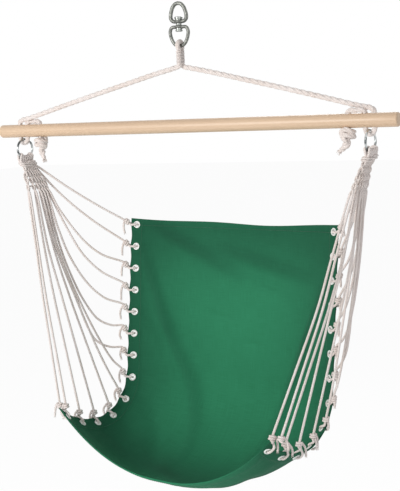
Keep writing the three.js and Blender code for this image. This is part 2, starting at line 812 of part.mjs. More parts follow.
const seat = new THREE.Group();
add("seat_cloth", seatCloth(), canvas, seat);
for (const [word, side] of [["left", -1], ["right", 1]]) {
  add(word + "_ring", ring(side), ringSteel, seat);
  add(word + "_neck_binding", neckBinding(side, word + " binding"), cotton, seat);
  for (let column = 0; column < cordsPerSide; column++)
    add(word + "_harness_cord_" + (column + 1), harnessCord(side, column), cotton, seat);
  for (let i = 0; i < eyeletsPerSide; i++)
    add(word + "_eyelet_" + (i + 1), eyelet(side, i), eyeletWhite, seat);
}
chair.add(swivel, hanger, seat);

export default chair;
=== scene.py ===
# Hammock chair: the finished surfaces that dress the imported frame.
# Shapes are worked out in millimetres, in the part's own frame. Each piece is brought to metres at the end.
import math
import random

import bmesh
import bpy
from mathutils import Matrix, Vector


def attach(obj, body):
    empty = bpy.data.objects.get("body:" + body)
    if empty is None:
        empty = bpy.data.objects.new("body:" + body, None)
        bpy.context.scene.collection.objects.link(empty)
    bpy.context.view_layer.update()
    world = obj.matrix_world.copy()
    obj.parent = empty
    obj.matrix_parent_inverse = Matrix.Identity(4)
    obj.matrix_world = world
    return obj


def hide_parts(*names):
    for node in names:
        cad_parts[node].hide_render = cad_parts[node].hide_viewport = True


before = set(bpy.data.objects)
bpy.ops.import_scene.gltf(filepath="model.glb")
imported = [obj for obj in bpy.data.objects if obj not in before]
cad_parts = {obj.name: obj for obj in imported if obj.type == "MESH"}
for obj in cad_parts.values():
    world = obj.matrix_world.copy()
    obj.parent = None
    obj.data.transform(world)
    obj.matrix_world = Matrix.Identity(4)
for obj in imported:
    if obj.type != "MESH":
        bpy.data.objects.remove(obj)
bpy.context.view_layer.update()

METRES = 0.001
SIDES = (("left", -1), ("right", 1))
DOWN = Vector((0, 0, -1))

# Swivel
UPPER_EYE_WIRE = 8.6
UPPER_EYE_WIDTH = 39.4
UPPER_EYE_HEIGHT = 39.6
BOSS_RADIUS = 8.4
UPPER_BOSS_HEIGHT = 8
SWIVEL_NECK_GAP = 3.4
PIN_RADIUS = 4
PIN_HEAD_RADIUS = 9.3
PIN_HEAD_HEIGHT = 6.2
PIN_TAIL_RADIUS = 8
PIN_TAIL_HEIGHT = 7.6
PIN_COLLAR_RADIUS = 6
FORGING_VOXEL = 0.42
LOWER_EYE_WIRE = 7.4
LOWER_EYE_WIDTH = 45
LOWER_EYE_HEIGHT = 41.5
LOWER_BOSS_HEIGHT = 6.8
FIT = 0.3
EYE_BASE_Z = UPPER_EYE_WIRE - UPPER_EYE_HEIGHT
UPPER_BOSS_BOTTOM = EYE_BASE_Z - UPPER_BOSS_HEIGHT
LOWER_BOSS_TOP = UPPER_BOSS_BOTTOM - SWIVEL_NECK_GAP
SWIVEL_WIRE_Z = LOWER_BOSS_TOP - LOWER_EYE_HEIGHT - LOWER_EYE_WIRE / 2 + FIT

# Rope, whipping and bar
ROPE_RADIUS = 5.25
ROPE_LAY = 52
ROPE_HOLLOW = 0.36
ROPE_LEG_OFFSET = 5.45
WHIPPING_CORD = 2.5
WHIPPING_TURNS = 9
WHIPPING_PITCH = 3.1
WHIPPING_LAY = 9
# What the rope keeps of its thickness in the whipping, over the lower eye and in the stopper knot
WHIPPING_SQUEEZE = 0.8
EYE_SQUEEZE = 0.93
STOPPER_SQUEEZE = 0.96
# How far below the lower eye's wire the eye still presses the rope
EYE_REACH = 9
STOPPER_RADIUS = 12.5
STOPPER_LENGTH = 26
STOPPER_TURNS = 1.85
BAR_LENGTH = 1000
BAR_RADIUS = 15
BAR_CHAMFER = 2.5
BAR_Z = -261
HOLE_RADIUS = 6.15
OUTER_HOLE_X = 447
MIDDLE_HOLE_X = 427
KNOT_HOLE_X = 389
DRILL_LENGTH = 60

# Rings
RING_RADIUS = 22.5
RING_WIRE = 2.5
RING_X = 437
RING_Z = BAR_Z - BAR_RADIUS - 2 - RING_WIRE - RING_RADIUS
RING_TURN = {-1: math.radians(12), 1: math.radians(4)}
RING_WELD_ANGLE = 2.1
RING_WELD_LENGTH = 1.4
RING_WELD_SWELL = 0.07

# Harness cords
CORD_RADIUS = 2.5
CORD_LAY = 15
CORDS_PER_SIDE = 7
FOLD_PITCH = math.radians(16)
LEG_OFFSET = 2.95
NECK_PITCH = 5.9
NECK_START = 28
NECK_LENGTH = 15
NECK_LEAN = 9
HEADER_LENGTH = 75
# How far in from the ring and back a header starts, and how far in and across it then runs
HEADERS = {-1: (39, 31, -23, 47), 1: (17, 4, 8, 52)}
HEADER_SHARES = (0, 0, 0.14, 0.28, 0.43, 0.67, 1)
HEADER_ROWS = 4
HEADER_STEPS = 4
HEADER_SWELL = 1.1
HEADER_SWAY = 1.5
HEADER_WEAVE_REACH = 4.6
KNOT_RADIUS = 5.8
KNOT_LENGTH = 11
KNOT_REACH = 26
KNOT_TURNS = 2.1
KNOT_RISE = 10.4
# What a cord keeps of its thickness in its end knot and in the woven header
KNOT_SQUEEZE = 0.93
WOVEN_SQUEEZE = 0.88
RIGHT_SAG = 0.8
TAIL_LENGTH = 28
BINDING_CORD = 4.2
BINDING_TURNS = 2
BINDING_PITCH = 4.7
BINDING_LAY = 9

# Seat cloth
SEAT_WIDTH = 589
SEAT_TOP_BEHIND = 145
SEAT_TOP_DROP = 483
BACK_LENGTH = 363
BACK_LEAN = math.radians(7.4)
SEAT_BEND_RADIUS = 108
FRONT_BEND_RADIUS = 190
FRONT_RISE = math.radians(42)
TOP_BULGE = 45
FRONT_BULGE = 126
BULGE_GROWTH = 1.5
BULGE_FLATNESS = 2.3
SEAT_TURN = math.radians(-9)
SEAT_SHIFT = Vector((20, -35, 0))
CLOTH_THICKNESS = 1.6
HEM_THICKNESS = 2.8
FOLD_DEPTH = 7
TOP_EDGE_SAG = 5
TOP_SAG_REACH = 40
HEM_WIDTH = 20
HEM_STEP = 1.6
SCALLOP_DEPTH = 2.4
WRINKLE_HEIGHT = 1.5
STITCH_RADIUS = 0.42
STITCH_FROM_EDGE = 16.5
STITCHES_ACROSS = 105
STITCHES_DOWN = 118
CLOTH_ROWS = 112
CLOTH_COLUMNS = 96
# A small step across the width, as a share of half of it
SHARE_STEP = 0.004
SEAT_BEND_LENGTH = SEAT_BEND_RADIUS * (math.pi / 2 - BACK_LEAN)
SEAT_LENGTH = BACK_LENGTH + SEAT_BEND_LENGTH + FRONT_BEND_RADIUS * FRONT_RISE

# Eyelets
EYELETS_PER_SIDE = 13
EYELET_BORE = 5.2
EYELET_BARREL = 6.2
EYELET_FLANGE = 8.6
EYELET_RISE = 1.9
EYELET_FROM_HEM = 15
EYELET_FROM_EDGE = 14
EYELET_FLAT = 11.5
EYELET_PITCH = (SEAT_LENGTH - 2 * EYELET_FROM_HEM) / (EYELETS_PER_SIDE - 1)
PUNCH_LENGTH = 12
# The strip of doubled cloth at each side, from this share of half the width outwards
STRIP_SHARE = 1 - 4 * EYELET_FROM_EDGE / SEAT_WIDTH
STRIP_STEP = 0.006

# Floor, in metres
FLOOR_Z = -1.52
FLOOR_GLOW = 0.94

# Camera, in metres and radians
CAMERA_PLACE = (1.45663, -2.47826, -0.17970)
CAMERA_AZIMUTH = 0.52337
CAMERA_ELEVATION = 0.11995
CAMERA_ROLL = -0.04761
CAMERA_LENS = 117.68
CAMERA_SENSOR = 36


def place_camera():
    """Matched to the photograph, 400 by 491, with no shift."""
    azimuth, elevation, roll = CAMERA_AZIMUTH, CAMERA_ELEVATION, CAMERA_ROLL
    forward = Vector((
        -math.sin(azimuth) * math.cos(elevation),
        math.cos(azimuth) * math.cos(elevation),
        -math.sin(elevation),
    ))
    level = Vector((math.cos(azimuth), math.sin(azimuth), 0))
    upward = level.cross(forward)
    right = math.cos(roll) * level + math.sin(roll) * upward
    up = -math.sin(roll) * level + math.cos(roll) * upward
    data = bpy.data.cameras.new("photo_camera")
    data.sensor_fit = "HORIZONTAL"
    data.sensor_width = CAMERA_SENSOR
    data.lens = CAMERA_LENS
    data.clip_start = 0.05
    data.clip_end = 60
    camera = bpy.data.objects.new("photo_camera", data)
    turned = Matrix((right, up, -forward)).transposed().to_4x4()
    camera.matrix_world = Matrix.Translation(CAMERA_PLACE) @ turned
    bpy.context.scene.collection.objects.link(camera)
    bpy.context.scene.camera = camera


place_camera()


# The rope's route, as in the solids, from over the lower eye down one leg
ROPE_LEG = [
    (0, 0, -77.9), (0, 6.7, -80.7), (0, 9.6, -87.5), (0, 8, -92.3), (0, 5.7, -96.5), (0, 5.45, -104),
    (0, 5.45, -114), (0, 5.45, -125), (0.8, 5.4, -129), (5, 5.3, -132.4), (14, 5.1, -134.8),
    (60, 4.8, -144.5), (150, 4.5, -166), (250, 4.5, -190), (350, 4.5, -215),
]
# Its lacing through the bar, with X measured from the ring
ROPE_LACING = [
    (-32, 4.5, -229), (-12, 4.2, -233.4), (0, 2.6, -235.4), (7.5, 0.7, -239), (9.9, 0, -245.5),
    (10, 0, -253), (10, 0, -262), (10, 0, -276), (8.8, 0, -283.4), (5.4, 0, -287.6), (0, 0, -288.9),
    (-5.4, 0, -287.6), (-8.8, 0, -283.4), (-10, 0, -276), (-10, 0, -262), (-10, 0, -249.5),
    (-10.8, -1, -243), (-15, -3.8, -239.8), (-22, -4.8, -239.5), (-30, -4.8, -239.5),
    (-40, -3.2, -239.6), (-46.4, -0.5, -242.6), (-48, 0, -249.5), (-48, 0, -262), (-48, 0, -276.5),
]
# How many of the leg's points lie in the loop, the whipping and the fork
FORK_POINTS = 11
# The cut tail under each stopper knot, with X measured from the ring
ROPE_TAILS = {
    -1: [(-48.6, 0.6, -306), (-51, 2, -313), (-55.5, 4, -321), (-59, 5.5, -327)],
    1: [(-49.5, 0.6, -304), (-54, 2, -310), (-62, 3.5, -317), (-70, 5, -322)],
}

# How far each strand sags: share of the way from the header to its knot, and drop below that line
STRAND_SAGS = [
    [(0.3, 5), (0.65, 5)],
    [(0.28, 14), (0.62, 13)],
    [(0.12, 22), (0.43, 42), (0.67, 34)],
    [(0.22, 36), (0.43, 54), (0.68, 40)],
    [(0.12, 50), (0.27, 82), (0.49, 84), (0.72, 56)],
    [(0.17, 84), (0.3, 108), (0.44, 116), (0.63, 100), (0.82, 52)],
    [(0.15, 78), (0.35, 112), (0.5, 134), (0.62, 123), (0.8, 68)],
    [(0.16, 60), (0.39, 75), (0.69, 58), (0.86, 33)],
    [(0.17, 50), (0.4, 50), (0.72, 36), (0.86, 20)],
    [(0.2, 40), (0.42, 38), (0.62, 26), (0.82, 12)],
    [(0.19, 32), (0.43, 22), (0.72, 9)],
    [(0.19, 32), (0.4, 38), (0.68, 20)],
    [(0.23, 14), (0.42, 30), (0.72, 15)],
    [(0.23, 14), (0.42, 30), (0.72, 15)],
]
# How far each end knot is drawn from straight out of its eyelet towards its strand's pull
KNOT_PULLS = (0.5, 0.45, 0.45, 0.45, 0.45, 0.45, 0.4, 0.4, 0.6, 0.9, 0.9, 0.95, 1)


def smooth_line(controls, step):
    """A smooth line through the points, in steps of about that length."""
    points = [Vector(p) for p in controls]
    before = 2 * points[0] - points[1]
    after = 2 * points[-1] - points[-2]
    padded = [before, *points, after]
    line = []
    for a, b, c, d in zip(padded, padded[1:], padded[2:], padded[3:]):
        t1 = (b - a).length ** 0.5
        t2 = t1 + (c - b).length ** 0.5
        t3 = t2 + (d - c).length ** 0.5
        count = max(1, round((c - b).length / step))
        for i in range(count):
            t = t1 + (t2 - t1) * i / count
            ab = a.lerp(b, t / t1)
            bc = b.lerp(c, (t - t1) / (t2 - t1))
            cd = c.lerp(d, (t - t2) / (t3 - t2))
            line.append(ab.lerp(bc, t / t2).lerp(bc.lerp(cd, (t - t1) / (t3 - t1)), (t - t1) / (t2 - t1)))
    line.append(points[-1])
    return line


# Seat surface

def edge_at(distance):
    """The side edge's Y and Z at a distance down the cloth, and its turn from straight down."""
    heading = BACK_LEAN
    y = SEAT_TOP_BEHIND
    z = -SEAT_TOP_DROP
    straight = min(distance, BACK_LENGTH)
    y -= straight * math.sin(heading)
    z -= straight * math.cos(heading)
    bends = (
        (SEAT_BEND_RADIUS, min(max(distance - BACK_LENGTH, 0), SEAT_BEND_LENGTH)),
        (FRONT_BEND_RADIUS, max(distance - BACK_LENGTH - SEAT_BEND_LENGTH, 0)),
    )
    for radius, run in bends:
        following = heading + run / radius
        y -= radius * (math.cos(heading) - math.cos(following))
        z -= radius * (math.sin(following) - math.sin(heading))
        heading = following
    return y, z, heading


# Along one stitch: share of its pitch, then height and thickness as shares of the thread's radius
STITCH_SHARES = ((0.1, -0.6, 0.5), (0.22, 0.2, 0.9), (0.5, 0.5, 1), (0.78, 0.2, 0.9), (0.9, -0.6, 0.5))

# Folds: where each starts and ends, down the length and across the width, its width and its depth
MAIN_FOLDS = (
    ((0.02, -0.9), (0.4, -0.1), 0.09, 1),
    ((0.2, -0.95), (0.62, -0.25), 0.1, 0.8),
    ((0.1, 0.92), (0.6, 0.62), 0.1, -1),
    ((0.42, 0.9), (0.86, 0.3), 0.1, 0.9),
    ((0.5, -0.7), (0.95, 0.1), 0.12, -0.7),
)
FINE_FOLDS = (
    ((0.05, -0.95), (0.46, -0.62), 0.035, -1.2),
    ((0.3, -0.82), (0.76, -0.24), 0.04, -1.3),
    ((0.0, -0.93), (0.21, 0.14), 0.03, -1.3),
    ((0.08, -0.35), (0.19, 0.85), 0.026, -1.3),
    ((0.13, 0.96), (0.49, 0.58), 0.03, -1.5),
    ((0.32, 0.76), (0.76, 0.26), 0.04, -1.6),
    ((0.2, -0.02), (0.25, 0.44), 0.013, 0.5),
    ((0.325, -0.4), (0.345, -0.06), 0.009, 0.4),
    ((0.42, -0.04), (0.43, 0.24), 0.009, 0.4),
    ((0.27, -0.98), (0.5, -0.62), 0.03, 0.6),
    ((0.2, 0.98), (0.5, 0.74), 0.028, 0.6),
    ((0.4, 0.98), (0.72, 0.62), 0.03, 0.7),
    ((0.58, -0.96), (0.84, -0.3), 0.035, 0.9),
    ((0.7, -0.8), (0.94, 0.1), 0.045, -0.8),
    ((0.7, 0.2), (0.9, 0.75), 0.04, -0.6),
    ((0.88, 0.35), (1.0, 0.9), 0.03, 0.25),
)


def fold_at(folds, down_share, width_share):
    """How far the folds push the cloth out at a place."""
    depth = 0
    for start, end, width, height in folds:
        run_x = end[0] - start[0]
        run_y = end[1] - start[1]
        here_x = down_share - start[0]
        here_y = width_share - start[1]
        long = math.hypot(run_x, run_y)
        share = (here_x * run_x + here_y * run_y) / long**2
        aside = abs(here_x * run_y - here_y * run_x) / long
        depth += height * max(0, 1 - (2 * share - 1) ** 2) * math.exp(-((aside / width) ** 2))
    return FOLD_DEPTH * depth * (1 - width_share**8)


def cloth_point(distance, width_share, folds=MAIN_FOLDS):
    """A place on the hanging cloth, by distance down and share of half the width, -1 at the left."""
    y, z, heading = edge_at(distance)
    down_share = distance / SEAT_LENGTH
    bulge = TOP_BULGE + (FRONT_BULGE - TOP_BULGE) * down_share**BULGE_GROWTH
    facing = min(heading, math.pi / 2)
    depth = bulge * (1 - abs(width_share) ** BULGE_FLATNESS) + fold_at(folds, down_share, width_share)
    across = SEAT_WIDTH / 2 * width_share
    point = Vector((across, y + depth * math.cos(facing), z - depth * math.sin(facing)))
    return Matrix.Rotation(SEAT_TURN, 3, "Z") @ point + SEAT_SHIFT


def cloth_surface(distance, width_share, folds=MAIN_FOLDS):
    """The cloth's middle, flat across the strip that holds the eyelets."""
    size = abs(width_share)
    if size <= STRIP_SHARE:
        return cloth_point(distance, width_share, folds)
    side = math.copysign(1, width_share)
    inner = cloth_point(distance, side * STRIP_SHARE, folds)
    outer = cloth_point(distance, side, folds)
    return inner.lerp(outer, (size - STRIP_SHARE) / (1 - STRIP_SHARE))


def across_cloth(distance, share, folds):
    """A short way across the cloth, towards its right."""
    right = cloth_surface(distance, min(share + SHARE_STEP, 1), folds)
    return right - cloth_surface(distance, max(share - SHARE_STEP, -1), folds)


def cloth_normal(distance, share, folds):
    """Square to the cloth, towards its outside."""
    lower = cloth_surface(min(distance + 1, SEAT_LENGTH), share, folds)
    down_way = lower - cloth_surface(max(distance - 1, 0), share, folds)
    return across_cloth(distance, share, folds).cross(down_way).normalized()


def eyelet_distance(index):
    return EYELET_FROM_HEM + index * EYELET_PITCH


def eyelet_frame(side, index):
    """Centre, outward along the cloth, normal on its inner face, and reach to the hem."""
    first = eyelet_distance(index) - EYELET_FLAT
    last = eyelet_distance(index) + EYELET_FLAT
    outer_a = cloth_point(first, side)
    outer_b = cloth_point(last, side)
    inner_a = cloth_point(first, side * STRIP_SHARE)
    inner_b = cloth_point(last, side * STRIP_SHARE)
    outer = (outer_a + outer_b) / 2
    inner = (inner_a + inner_b) / 2
    outward = (outer - inner).normalized()
    normal = side * (outer_b - outer_a + inner_b - inner_a).cross(outward)
    centre = (outer + inner) / 2
    return centre, outward, normal.normalized(), (outer - centre).length


# Harness

def from_ring(side, across, backward, z):
    """A place measured from the ring's middle, turned as the ring is."""
    turned = Matrix.Rotation(-RING_TURN[side], 3, "Z") @ Vector((across, backward, 0))
    return turned + Vector((side * RING_X, 0, z))


def neck_shift(side, z):
    """How far the neck leans inward at a height."""
    share = min(max((RING_Z - NECK_START - z) / NECK_LENGTH, 0), 1)
    return Vector((-side * NECK_LEAN * share, NECK_LEAN / 2 * share, 0))


def neck_place(side, column, z):
    """The middle between a cord's two legs in the neck."""
    return from_ring(side, 0, ((CORDS_PER_SIDE - 1) / 2 - column) * NECK_PITCH, z) + neck_shift(side, z)


def neck_across(side):
    return side * (Matrix.Rotation(-RING_TURN[side], 3, "Z") @ Vector((1, 0, 0)))


def header_end(side, column):
    """Where a column of the header lets its two strands go, and the header's thickness direction there."""
    lean, back, inward, width = HEADERS[side]
    neck_z = RING_Z - NECK_START
    first = Vector((side * (RING_X - lean), back, neck_z - HEADER_LENGTH))
    across = Vector((-side * inward, -width, 0))
    thick = Vector((side * width, -inward, 0)).normalized()
    return first + across * HEADER_SHARES[column], thick


def header_place(side, column, share):
    """A column's middle and thickness direction at a share of the way down the woven header."""
    top = neck_place(side, column, RING_Z - NECK_START - NECK_LENGTH)
    end, thick = header_end(side, column)
    return top.lerp(end, share), neck_across(side).lerp(thick, share).normalized()


def round_wave(turns):
    """A wave of even bends: 1 at even whole numbers, -1 at odd ones."""
    place = (turns + 0.5) % 2
    share = place % 1
    return 4 * share * (1 - share) * (1 if place < 1 else -1)


def header_leg(side, column, leg):
    """A strand from the neck binding to the header's foot, before and behind the cross cord in turn."""
    neck_z = RING_Z - NECK_START
    aside = neck_across(side) * leg * LEG_OFFSET
    line = [neck_place(side, column, neck_z - NECK_LENGTH * s) + aside for s in (0.3, 0.65)]
    if column == 0:
        behind = ((CORDS_PER_SIDE - 1) / 2 + 1.7) * NECK_PITCH
        leave = Vector((side * (RING_X - NECK_LENGTH), behind, neck_z - NECK_LENGTH * 1.45))
        line.append(neck_place(side, 0, neck_z - NECK_LENGTH) + aside)
        return [*line, leave + DOWN * leg * CORD_RADIUS * 1.8]
    for i in range(HEADER_ROWS * HEADER_STEPS + 1):
        share = i / (HEADER_ROWS * HEADER_STEPS)
        middle, thick = header_place(side, column, share)
        lateral = thick.cross(DOWN).normalized()
        turns = HEADER_ROWS * share
        across = (LEG_OFFSET + HEADER_SWELL * math.sin(math.pi * share)) * round_wave(turns)
        line.append(middle + thick * leg * across + lateral * leg * HEADER_SWAY * math.sin(math.pi * turns))
    return line


def strand_controls(side, strand):
    """The knot's centre, the way back up from it, the way aside for its tail, and the points down to it."""
    column = strand // 2
    leg = 1 if strand % 2 else -1
    header = header_leg(side, column, leg)
    if column:
        end, thick = header_end(side, column)
        exit_point = end + thick * leg * LEG_OFFSET
    else:
        exit_point = header[-1]
    shared = strand >= EYELETS_PER_SIDE
    centre, outward, _, _ = eyelet_frame(side, min(strand, EYELETS_PER_SIDE - 1))
    pull = (exit_point - centre).normalized()
    share = KNOT_PULLS[min(strand, EYELETS_PER_SIDE - 1)]
    knot = centre + (outward * (1 - share) + pull * share).normalized() * KNOT_REACH
    upward = (exit_point - knot).normalized()
    aside = DOWN + outward
    aside = (aside - upward * aside.dot(upward)).normalized()
    if shared:
        passing = KNOT_RADIUS + CORD_RADIUS + 2 * FIT + HEM_THICKNESS / 2
        knot = knot + aside * (passing + KNOT_RADIUS + CORD_RADIUS + 2 * FIT) + upward * KNOT_LENGTH / 2
    run = knot - exit_point
    sag = 1 if side < 0 else RIGHT_SAG
    vias = [exit_point + run * s + DOWN * drop * sag for s, drop in STRAND_SAGS[strand]]
    return knot, upward, aside, [*header[:-1], exit_point, *vias, knot + upward * KNOT_LENGTH * 0.7, knot]


# Materials, with colours as linear values

WHITE = (1, 1, 1, 1)
COTTON = (0.79, 0.72, 0.69, 1)
COTTON_LIT = (0.86, 0.81, 0.785, 1)
COTTON_SHADE = (0.6, 0.525, 0.5, 1)
COTTON_SOIL = (0.93, 0.9, 0.87, 1)
WHIPPING_SHADE = (0.73, 0.65, 0.62, 1)
CANVAS = (0.025, 0.205, 0.1, 1)
CANVAS_SHADE = (0.018, 0.155, 0.074, 1)
CANVAS_LIT = (0.034, 0.25, 0.125, 1)
# What multiplies the canvas where it takes painted shade and where it takes painted light
CANVAS_PAINTED_SHADE = (0.4, 0.375, 0.4, 1)
CANVAS_PAINTED_LIGHT = (1.08, 1.08, 1.08, 1)
CANVAS_SHEEN = (0.4, 0.9, 0.65, 1)
CANVAS_YARN_PITCH = 0.0017
THREAD_SHADE = (0.014, 0.07, 0.038, 1)
THREAD_LIT = (0.022, 0.11, 0.06, 1)
BEECH = (0.68, 0.51, 0.365, 1)
BEECH_GRAIN = (0.56, 0.385, 0.25, 1)
BEECH_FIBRE = (0.585, 0.415, 0.275, 1)
BEECH_FLECK = (0.42, 0.265, 0.155, 1)
# Brings the tree's heart, 31 mm before and 22 mm under the bar's middle, to the middle of the ring pattern
BEECH_HEART_SHIFT = (0, 0.031, 0.283)
BEECH_STRETCH = (0.035, 1, 1)
FORGED = (0.22, 0.226, 0.208, 1)
FORGED_SCALE = (0.11, 0.115, 0.108, 1)
FORGED_WORN = (0.33, 0.336, 0.312, 1)
TURNED_GROOVE = (0.24, 0.255, 0.24, 1)
TURNED = (0.48, 0.5, 0.475, 1)
# The ring's steel colours, mixed in random patches; the darkest is a painted dark reflection
RING_PAINTED_DARK_REFLECTION = (0.09, 0.1, 0.1, 1)
RING_DULL = (0.4, 0.42, 0.42, 1)
RING_BRIGHT = (0.68, 0.7, 0.7, 1)
ENAMEL = (0.82, 0.84, 0.81, 1)
ENAMEL_SCUFF = (0.66, 0.68, 0.65, 1)


class Finish:
    """A material with its nodes close at hand."""

    def __init__(self, name, roughness, metallic=0.0):
        self.material = bpy.data.materials.new(name)
        self.material.use_nodes = True
        self.tree = self.material.node_tree
        self.shader = self.tree.nodes["Principled BSDF"]
        self.shader.inputs["Roughness"].default_value = roughness
        self.shader.inputs["Metallic"].default_value = metallic

    def node(self, kind, **settings):
        made = self.tree.nodes.new("ShaderNode" + kind)
        for key, value in settings.items():
            setattr(made, key, value)
        return made

    def join(self, source, target):
        self.tree.links.new(source, target)

    def place(self, kind="Object", scale=(1, 1, 1), shift=(0, 0, 0)):
        coordinates = self.node("TexCoord")
        mapping = self.node("Mapping")
        mapping.inputs["Scale"].default_value = scale
        mapping.inputs["Location"].default_value = shift
        self.join(coordinates.outputs[kind], mapping.inputs["Vector"])
        return mapping.outputs["Vector"]

    def noise(self, where, scale, detail, roughness, distortion=0.0):
        texture = self.node("TexNoise")
        texture.inputs["Scale"].default_value = scale
        texture.inputs["Detail"].default_value = detail
        texture.inputs["Roughness"].default_value = roughness
        texture.inputs["Distortion"].default_value = distortion
        self.join(where, texture.inputs["Vector"])
        return texture.outputs["Fac"]

    def ramp(self, factor, *stops):
        ramp = self.node("ValToRGB")
        elements = ramp.color_ramp.elements
        while len(elements) < len(stops):
            elements.new(0.5)
        for element, (position, colour) in zip(elements, stops):
            element.position = position
            element.color = colour
        self.join(factor, ramp.inputs["Fac"])
        return ramp.outputs["Color"]

    def math(self, operation, a, b=None):
        made = self.node("Math", operation=operation)
        for socket, value in zip(made.inputs, (a, b)):
            if value is None:
                continue
            if isinstance(value, (int, float)):
                socket.default_value = value
            else:
                self.join(value, socket)
        return made.outputs[0]

    def mix(self, factor, a, b, blend="MIX"):
        made = self.node("Mix", data_type="RGBA", blend_type=blend)
        for socket, value in ((made.inputs[0], factor), (made.inputs[6], a), (made.inputs[7], b)):
            if isinstance(value, (int, float, tuple)):
                socket.default_value = value
            else:
                self.join(value, socket)
        return made.outputs[2]

    def bump(self, height, strength, distance, after=None):
        made = self.node("Bump")
        made.inputs["Strength"].default_value = strength
        made.inputs["Distance"].default_value = distance
        self.join(height, made.inputs["Height"])
        if after is not None:
            self.join(after, made.inputs["Normal"])
        return made.outputs["Normal"]

    def feed(self, **inputs):
        """Joins each value to the shader's input of that name."""
        for name, value in inputs.items():
            self.join(value, self.shader.inputs[name.replace("_", " ")])


def grey(level):
    return (level, level, level, 1)


def cotton_finish(name, fibre, shade=COTTON_SHADE):
    """Twisted cotton: soft off-white, a little pinkish in its shaded yarns, with fine fibres."""
    f = Finish(name, 0.9)
    f.shader.inputs["Sheen Weight"].default_value = 0.25
    f.shader.inputs["Sheen Roughness"].default_value = 0.6
    where = f.place()
    yarn = f.noise(where, fibre, 3, 0.6)
    soil = f.noise(where, 14, 4, 0.6)
    colour = f.ramp(yarn, (0.28, shade), (0.52, COTTON), (0.78, COTTON_LIT))
    tint = f.ramp(soil, (0.35, COTTON_SOIL), (0.62, WHITE))
    f.feed(Base_Color=f.mix(1.0, colour, tint, "MULTIPLY"))
    f.feed(Roughness=f.ramp(yarn, (0.3, grey(0.98)), (0.7, grey(0.82))))
    f.feed(Normal=f.bump(f.noise(where, fibre * 1.7, 2, 0.7), 0.35, 0.0004))
    return f.material


def canvas_finish():
    """Plain-woven canvas on the cloth's own map, which is in metres across and down."""
    f = Finish("green_canvas", 0.85)
    f.shader.inputs["Specular IOR Level"].default_value = 0.15
    f.shader.inputs["Sheen Weight"].default_value = 0.05
    f.shader.inputs["Sheen Roughness"].default_value = 0.5
    f.shader.inputs["Sheen Tint"].default_value = CANVAS_SHEEN
    where = f.place("UV")
    axes = f.node("SeparateXYZ")
    f.join(where, axes.inputs[0])
    yarns = 2 * math.pi / CANVAS_YARN_PITCH
    warp = f.math("SINE", f.math("MULTIPLY", axes.outputs[0], yarns))
    weft = f.math("SINE", f.math("MULTIPLY", axes.outputs[1], yarns))
    weave = f.math("ADD", f.math("MULTIPLY", f.math("MULTIPLY", warp, weft), 0.5), 0.5)
    slub_down = f.noise(f.place("UV", (1400, 26, 1)), 1.0, 2, 0.5)
    slub_across = f.noise(f.place("UV", (26, 1400, 1)), 1.0, 2, 0.5)
    slub = f.math("ADD", f.math("MULTIPLY", slub_down, 0.5), f.math("MULTIPLY", slub_across, 0.5))
    fade = f.noise(where, 5.5, 3, 0.5, 0.4)
    thread = f.ramp(slub, (0.36, CANVAS_SHADE), (0.62, CANVAS))
    woven = f.mix(f.math("MULTIPLY", weave, 0.35), thread, CANVAS_LIT)
    faded = f.ramp(fade, (0.3, (0.93, 0.94, 0.94, 1)), (0.7, (1.05, 1.04, 1.04, 1)))
    # The tone attribute is painted light and shade, multiplied into the canvas colour
    tone = f.node("Attribute", attribute_type="GEOMETRY", attribute_name="tone")
    painted_shading = f.ramp(tone.outputs["Fac"], (0.0, CANVAS_PAINTED_SHADE), (1.0, CANVAS_PAINTED_LIGHT))
    f.feed(Base_Color=f.mix(1.0, f.mix(1.0, woven, faded, "MULTIPLY"), painted_shading, "MULTIPLY"))
    f.feed(Roughness=f.ramp(slub, (0.3, grey(0.93)), (0.7, grey(0.8))))
    height = f.math("ADD", f.math("MULTIPLY", weave, 0.7), f.math("MULTIPLY", slub, 0.6))
    f.feed(Normal=f.bump(height, 0.45, 0.0003))
    return f.material


def thread_finish():
    """Dark green sewing thread."""
    f = Finish("sewing_thread", 0.7)
    f.shader.inputs["Sheen Weight"].default_value = 0.2
    filaments = f.noise(f.place(), 900, 2, 0.5)
    f.feed(Base_Color=f.ramp(filaments, (0.3, THREAD_SHADE), (0.7, THREAD_LIT)))
    f.feed(Normal=f.bump(filaments, 0.3, 0.0002))
    return f.material


def beech_finish():
    """Pale beech: rings round a heart off to one side, so straight grain along it and arcs on its ends."""
    f = Finish("pale_beech", 0.45)
    f.shader.inputs["Coat Weight"].default_value = 0.12
    f.shader.inputs["Coat Roughness"].default_value = 0.3
    rings = f.node("TexWave", wave_type="RINGS", rings_direction="X", wave_profile="SAW")
    rings.inputs["Scale"].default_value = 95
    rings.inputs["Distortion"].default_value = 2.6
    rings.inputs["Detail"].default_value = 3
    rings.inputs["Detail Scale"].default_value = 26
    rings.inputs["Detail Roughness"].default_value = 0.6
    f.join(f.place(scale=BEECH_STRETCH, shift=BEECH_HEART_SHIFT), rings.inputs["Vector"])
    fibre = f.noise(f.place(scale=(9, 420, 420)), 1.0, 3, 0.6)
    flecks = f.noise(f.place(scale=(60, 1500, 1500)), 1.0, 1, 0.4)
    board = f.noise(f.place(scale=(2.2, 20, 20)), 1.0, 2, 0.5)
    grain = f.mix(f.math("MULTIPLY", rings.outputs["Fac"], 0.5), BEECH, BEECH_GRAIN)
    grain = f.mix(f.math("MULTIPLY", fibre, 0.42), grain, BEECH_FIBRE)
    grain = f.mix(f.ramp(flecks, (0.62, grey(0)), (0.72, grey(0.35))), grain, BEECH_FLECK)
    tone = f.ramp(board, (0.3, (0.94, 0.92, 0.9, 1)), (0.7, (1.03, 1.02, 1.0, 1)))
    f.feed(Base_Color=f.mix(1.0, grain, tone, "MULTIPLY"))
    f.feed(Roughness=f.ramp(fibre, (0.3, grey(0.5)), (0.75, grey(0.38))))
    f.feed(Normal=f.bump(fibre, 0.18, 0.0003))
    return f.material


